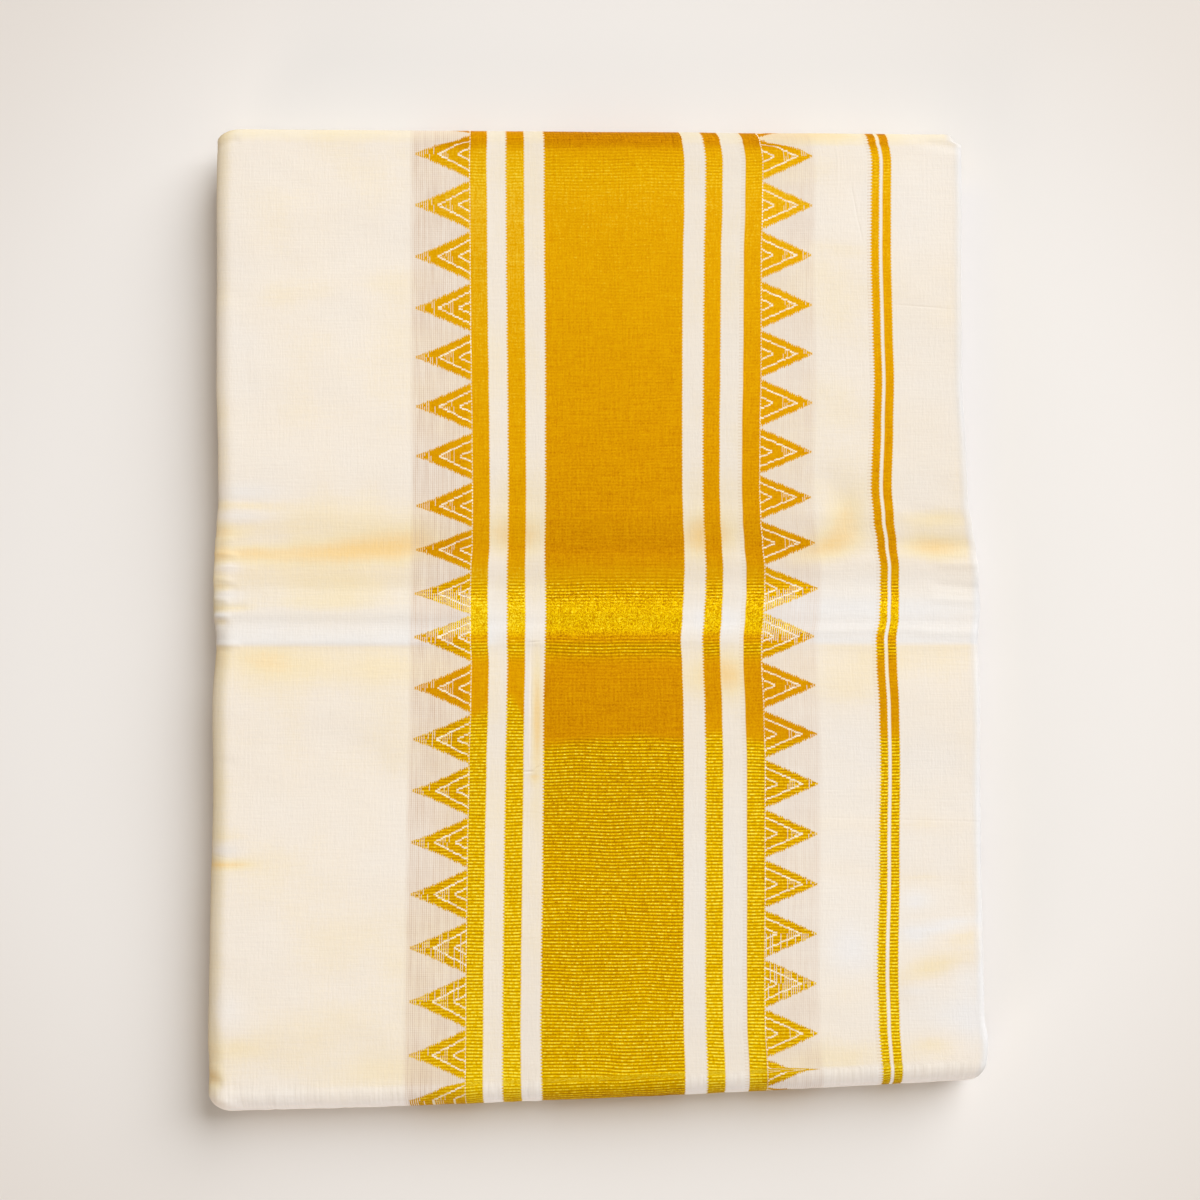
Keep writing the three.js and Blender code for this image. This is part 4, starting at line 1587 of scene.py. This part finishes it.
@dataclass(frozen=True)
class UnderLeaf:
    """The leaf that the pack rests on, from the front turn back to the selvedge."""

    thickness: float = 0.45
    overlap: float = 0.4

    def build(self, material: bpy.types.Material) -> bpy.types.Object:
        """Builds the leaf. Its face is level, apart from the rolls at both sides.

        Args:
            material: its finish.

        Returns:
            The piece.
        """
        start = self.overlap - PalluFace().under_reach
        section = leaf_section(stations((-144.6, -120, 4), (-120, 120, 8), (120, 148.5, 4)))
        s, x = np.meshgrid(stations((PACK.selvedge, start, 4.0)), section.x, indexing="ij")
        outer = PACK.place(s, x, np.broadcast_to(section.depth, s.shape))
        straight_down = np.zeros_like(outer)
        straight_down[..., 2] = -1.0
        normals = grid_normals_like(outer, straight_down)
        return slab_object("under_leaf", outer, outer - normals * self.thickness, material)


@dataclass(frozen=True)
class LeafEdges:
    """Folded edges of one side's inner leaves, as beads that follow the fold line."""

    side: Side
    name: str
    start: float  # length along the fold line where they start
    end: float
    top_depth: float  # below the outermost face
    bottom_depth: float
    beads: int
    seed: int
    setback: float = 0.5
    unevenness: float = 0.6
    groove: float = 0.9
    body: float = 12.0  # how far in the slab reaches

    def build(self, material: bpy.types.Material) -> bpy.types.Object:
        """Builds the slab of beads: each is half round, set in or out by its own slow wave.

        Args:
            material: its finish.

        Returns:
            The piece.
        """
        parts = np.array([0.03, 0.14, 0.32, 0.5, 0.68, 0.86, 0.97])  # of a bead's height
        number = np.repeat(np.arange(self.beads), len(parts))
        part = np.tile(parts, self.beads)
        s, number = np.meshgrid(stations((self.start, self.end, 2.4)), number, indexing="ij")
        part = np.broadcast_to(part, s.shape)
        waves = ((1.0, 42.0, 1.0, 9.7, self.seed), (0.4, 11.0, 1.0, 5.3, self.seed + 1))
        wave = unevenness(s, number, waves)
        round_off = self.groove * (1.0 - np.sqrt(np.clip(1.0 - (2.0 * part - 1.0) ** 2, 0.0, 1.0)))
        inset = self.setback + self.unevenness * np.maximum(wave + 0.4, -0.6) + round_off
        depth = self.top_depth + (number + part) * (self.bottom_depth - self.top_depth) / self.beads
        sign = self.side.value
        outer = PACK.place(s, sign * (PACK.half_width - inset), depth)
        inner = PACK.place(s, sign * np.full_like(s, PACK.half_width - self.body), depth)
        return slab_object(self.name, outer, inner, material)


@dataclass(frozen=True)
class InnerCore:
    """The hidden middle of the pack, which holds its leaves apart from their edges."""

    top_depth: float = 2.5
    bottom_depth: float = 5.8
    half_width: float = 144.0

    def build(self, material: bpy.types.Material) -> bpy.types.Object:
        """Builds one slab along the whole fold line.

        Args:
            material: its finish.

        Returns:
            The piece.
        """
        rows = stations(
            (PACK.selvedge + 6, 0, 12),
            (0, PACK.top_start, 2.4),
            (PACK.top_start, PACK.top_end, 6),
            (PACK.top_end, PACK.back_end, 2),
            (PACK.back_end, PACK.middle_end, 12),
        )
        columns = np.linspace(-self.half_width, self.half_width, 25)
        s, x = np.meshgrid(rows, columns, indexing="ij")
        outer = PACK.place(s, x, np.full_like(s, self.top_depth))
        inner = PACK.place(s, x, np.full_like(s, self.bottom_depth))
        return slab_object("inner_core", outer, inner, material)


@dataclass(frozen=True)
class SelvedgeEnds:
    """Woven edges of the lowest third's leaves, which end below the back turn."""

    leaves: int = 12
    reach: float = 10.0
    unevenness: float = 1.1
    seed: int = 71

    def build(self, material: bpy.types.Material) -> bpy.types.Object:
        """Builds the stack of edges: each leaf ends a little further in or out along a slow wave.

        Args:
            material: its finish.

        Returns:
            The piece.
        """
        parts = np.array([0.04, 0.2, 0.5, 0.8, 0.96])  # of a leaf's thickness
        number = np.repeat(np.arange(self.leaves), len(parts))
        part = np.tile(parts, self.leaves)
        x, number = np.meshgrid(stations((-149.5, 149.5, 3.0)), number, indexing="ij")
        part = np.broadcast_to(part, x.shape)
        waves = ((1.0, 48.0, 1.0, 8.3, self.seed), (0.3, 9.0, 1.0, 7.1, self.seed + 1))
        wave = unevenness(x, number, waves)
        round_off = 0.35 * (2.0 * part - 1.0) ** 2 + np.where(np.abs(part - 0.5) > 0.4, 0.6, 0.0)
        length = -PACK.selvedge
        s = -(length - 0.6 - self.unevenness * np.maximum(wave + 0.5, 0.0) - round_off)
        depth = 0.5 + (number + part) * (5.75 - 0.5) / self.leaves
        outer = PACK.place(s, x, depth)
        inner = PACK.place(np.full_like(s, self.reach - length), x, depth)
        return slab_object("selvedge_ends", outer, inner, material)


@dataclass(frozen=True)
class Softbox:
    """A round soft light that points at the pack. Sizes are in metres, angles in degrees."""

    name: str
    size: float
    distance: float
    height: float  # above the floor, as seen from the pack
    bearing: float  # from +X towards +Y
    power: float
    colour: str

    def build(self) -> None:
        """Builds the light."""
        height, bearing = math.radians(self.height), math.radians(self.bearing)
        lamp = bpy.data.lights.new(self.name, "AREA")
        lamp.shape = "DISK"
        lamp.size = self.size
        lamp.energy = self.power
        lamp.color = linear(self.colour)[:3]
        light = bpy.data.objects.new(self.name, lamp)
        level = self.distance * math.cos(height)
        across, along = level * math.cos(bearing), level * math.sin(bearing)
        light.location = (across, along, self.distance * math.sin(height))
        light.rotation_euler = (math.pi / 2 - height, 0.0, bearing + math.pi / 2)
        bpy.context.scene.collection.objects.link(light)


@dataclass(frozen=True)
class Studio:
    """Floor, lights and camera. Sizes are in metres."""

    floor_size: float = 6.0
    image_size: float = 1200.0  # pixels
    focal_pixels: float = 1493.0
    tilt: float = 3.4  # degrees from straight down
    distance: float = 0.6
    look_at: tuple[float, float, float] = (0.00194, 0.004355, 0.018)
    sensor: float = 36.0
    key: Softbox = Softbox("key_softbox", 7.3, 7.0, 31.0, 49.0, power=872.0, colour="#f6faff")
    top: Softbox = Softbox("top_softbox", 0.7, 0.85, 86.0, 20.0, power=2.0, colour="#fff4e4")
    front: Softbox = Softbox("front_softbox", 1.6, 3.0, 9.0, -122.0, power=44.0, colour="#fceee5")
    sky: str = "#fff4e4"
    sky_strength: float = 0.15

    def build(self) -> None:
        """Builds the floor, the soft key light, the pale surroundings and the camera."""
        self.floor()
        self.lights()
        self.camera()

    def floor(self) -> None:
        """A level floor just below the pack, which isn't part of the object."""
        half = self.floor_size / 2
        u, v = np.meshgrid(np.linspace(-half, half, 9), np.linspace(-half, half, 9), indexing="ij")
        top = np.stack([u, v, np.full_like(u, -0.0002)], axis=-1) / MM
        below = top.copy()
        below[..., 2] -= 0.02 / MM
        slab_object("floor", top, below, PaleFloor().material())

    def lights(self) -> None:
        """A large softbox from the back right, one overhead, a low one from the front, and a pale room."""
        for box in (self.key, self.top, self.front):
            box.build()
        world = bpy.data.worlds.new("pale_room")
        world.use_nodes = True
        background = world.node_tree.nodes["Background"]
        background.inputs["Color"].default_value = linear(self.sky)
        background.inputs["Strength"].default_value = self.sky_strength
        bpy.context.scene.world = world
        bpy.context.scene.view_settings.view_transform = "Standard"

    def camera(self) -> None:
        """A camera almost straight above, tilted towards the back."""
        tilt = math.radians(self.tilt)
        lens = bpy.data.cameras.new("camera")
        lens.sensor_width = self.sensor
        lens.lens = self.sensor * self.focal_pixels / self.image_size
        lens.clip_end = 20.0
        eye = bpy.data.objects.new("camera", lens)
        x, y, z = self.look_at
        eye.location = (x, y - self.distance * math.sin(tilt), z + self.distance * math.cos(tilt))
        eye.rotation_euler = (tilt, 0.0, 0.0)
        bpy.context.scene.collection.objects.link(eye)
        bpy.context.scene.camera = eye


@dataclass(frozen=True)
class FoldedSaree:
    """The whole pack."""

    face: PalluFace = PalluFace()
    under: UnderLeaf = UnderLeaf()
    core: InnerCore = InnerCore()
    selvedge: SelvedgeEnds = SelvedgeEnds()

    def build(self) -> None:
        pallu = PalluCloth().material()
        cotton = PlainCotton("handwoven_cotton").material()
        # the folded edges are painted darker and tan: painted shade between the leaves
        edges_in_painted_shade = ((0.0, "#e2dbd0"), (0.5, "#ddd1bd"), (0.75, "#d9c6a2"), (1.0, "#d4b983"))
        edges = PlainCotton("cotton_folded_edges_painted_shade", edges_in_painted_shade).material()
        core = self.core.build(edges)
        ends = self.selvedge.build(edges)
        sides = [each.build(edges) for each in self.leaf_edges()]
        face = self.face.build(pallu)
        under = self.under.build(cotton)
        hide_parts("face_stretch", "front_turn", "back_turn")
        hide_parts("under_stretch")
        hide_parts("hidden_layers")
        self.declare(face, Slot.PALLU)
        self.declare(under, Slot.PALLU)
        for piece in (core, ends, *sides):
            self.declare(piece, Slot.COTTON)

    def leaf_edges(self) -> list[LeafEdges]:
        """Lists the rows of folded edges: two at each side, for the outer thirds and for the middle one.

        Returns:
            The four rows.
        """
        rows = []
        for side, turn, beads in ((Side.LEFT, LEFT_TURN, 4), (Side.RIGHT, RIGHT_TURN, 5)):
            word = side.name.lower()
            outer = (PACK.selvedge + 1, PACK.back_end, turn.lip + 0.25, 5.95, beads, 40)
            middle = (PACK.back_end, PACK.middle_end, 0.1, 5.9, 9, 50)
            rows.append(LeafEdges(side, f"{word}_edges_outer", *outer))
            rows.append(LeafEdges(side, f"{word}_edges_middle", *middle, unevenness=0.9))
        return rows

    def declare(self, piece: bpy.types.Object, slot: Slot) -> None:
        """Names the piece's body, and reports it.

        Args:
            piece: the finished piece.
            slot: not used.
        """
        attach(piece, BODY)
        log.info("%s: %d faces", piece.name, len(piece.data.polygons))


def main() -> None:
    """Builds the saree and its studio."""
    logging.basicConfig(level=logging.INFO, format="%(name)s: %(message)s")
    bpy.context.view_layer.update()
    Studio().build()
    FoldedSaree().build()


if __name__ == "__main__":
    main()
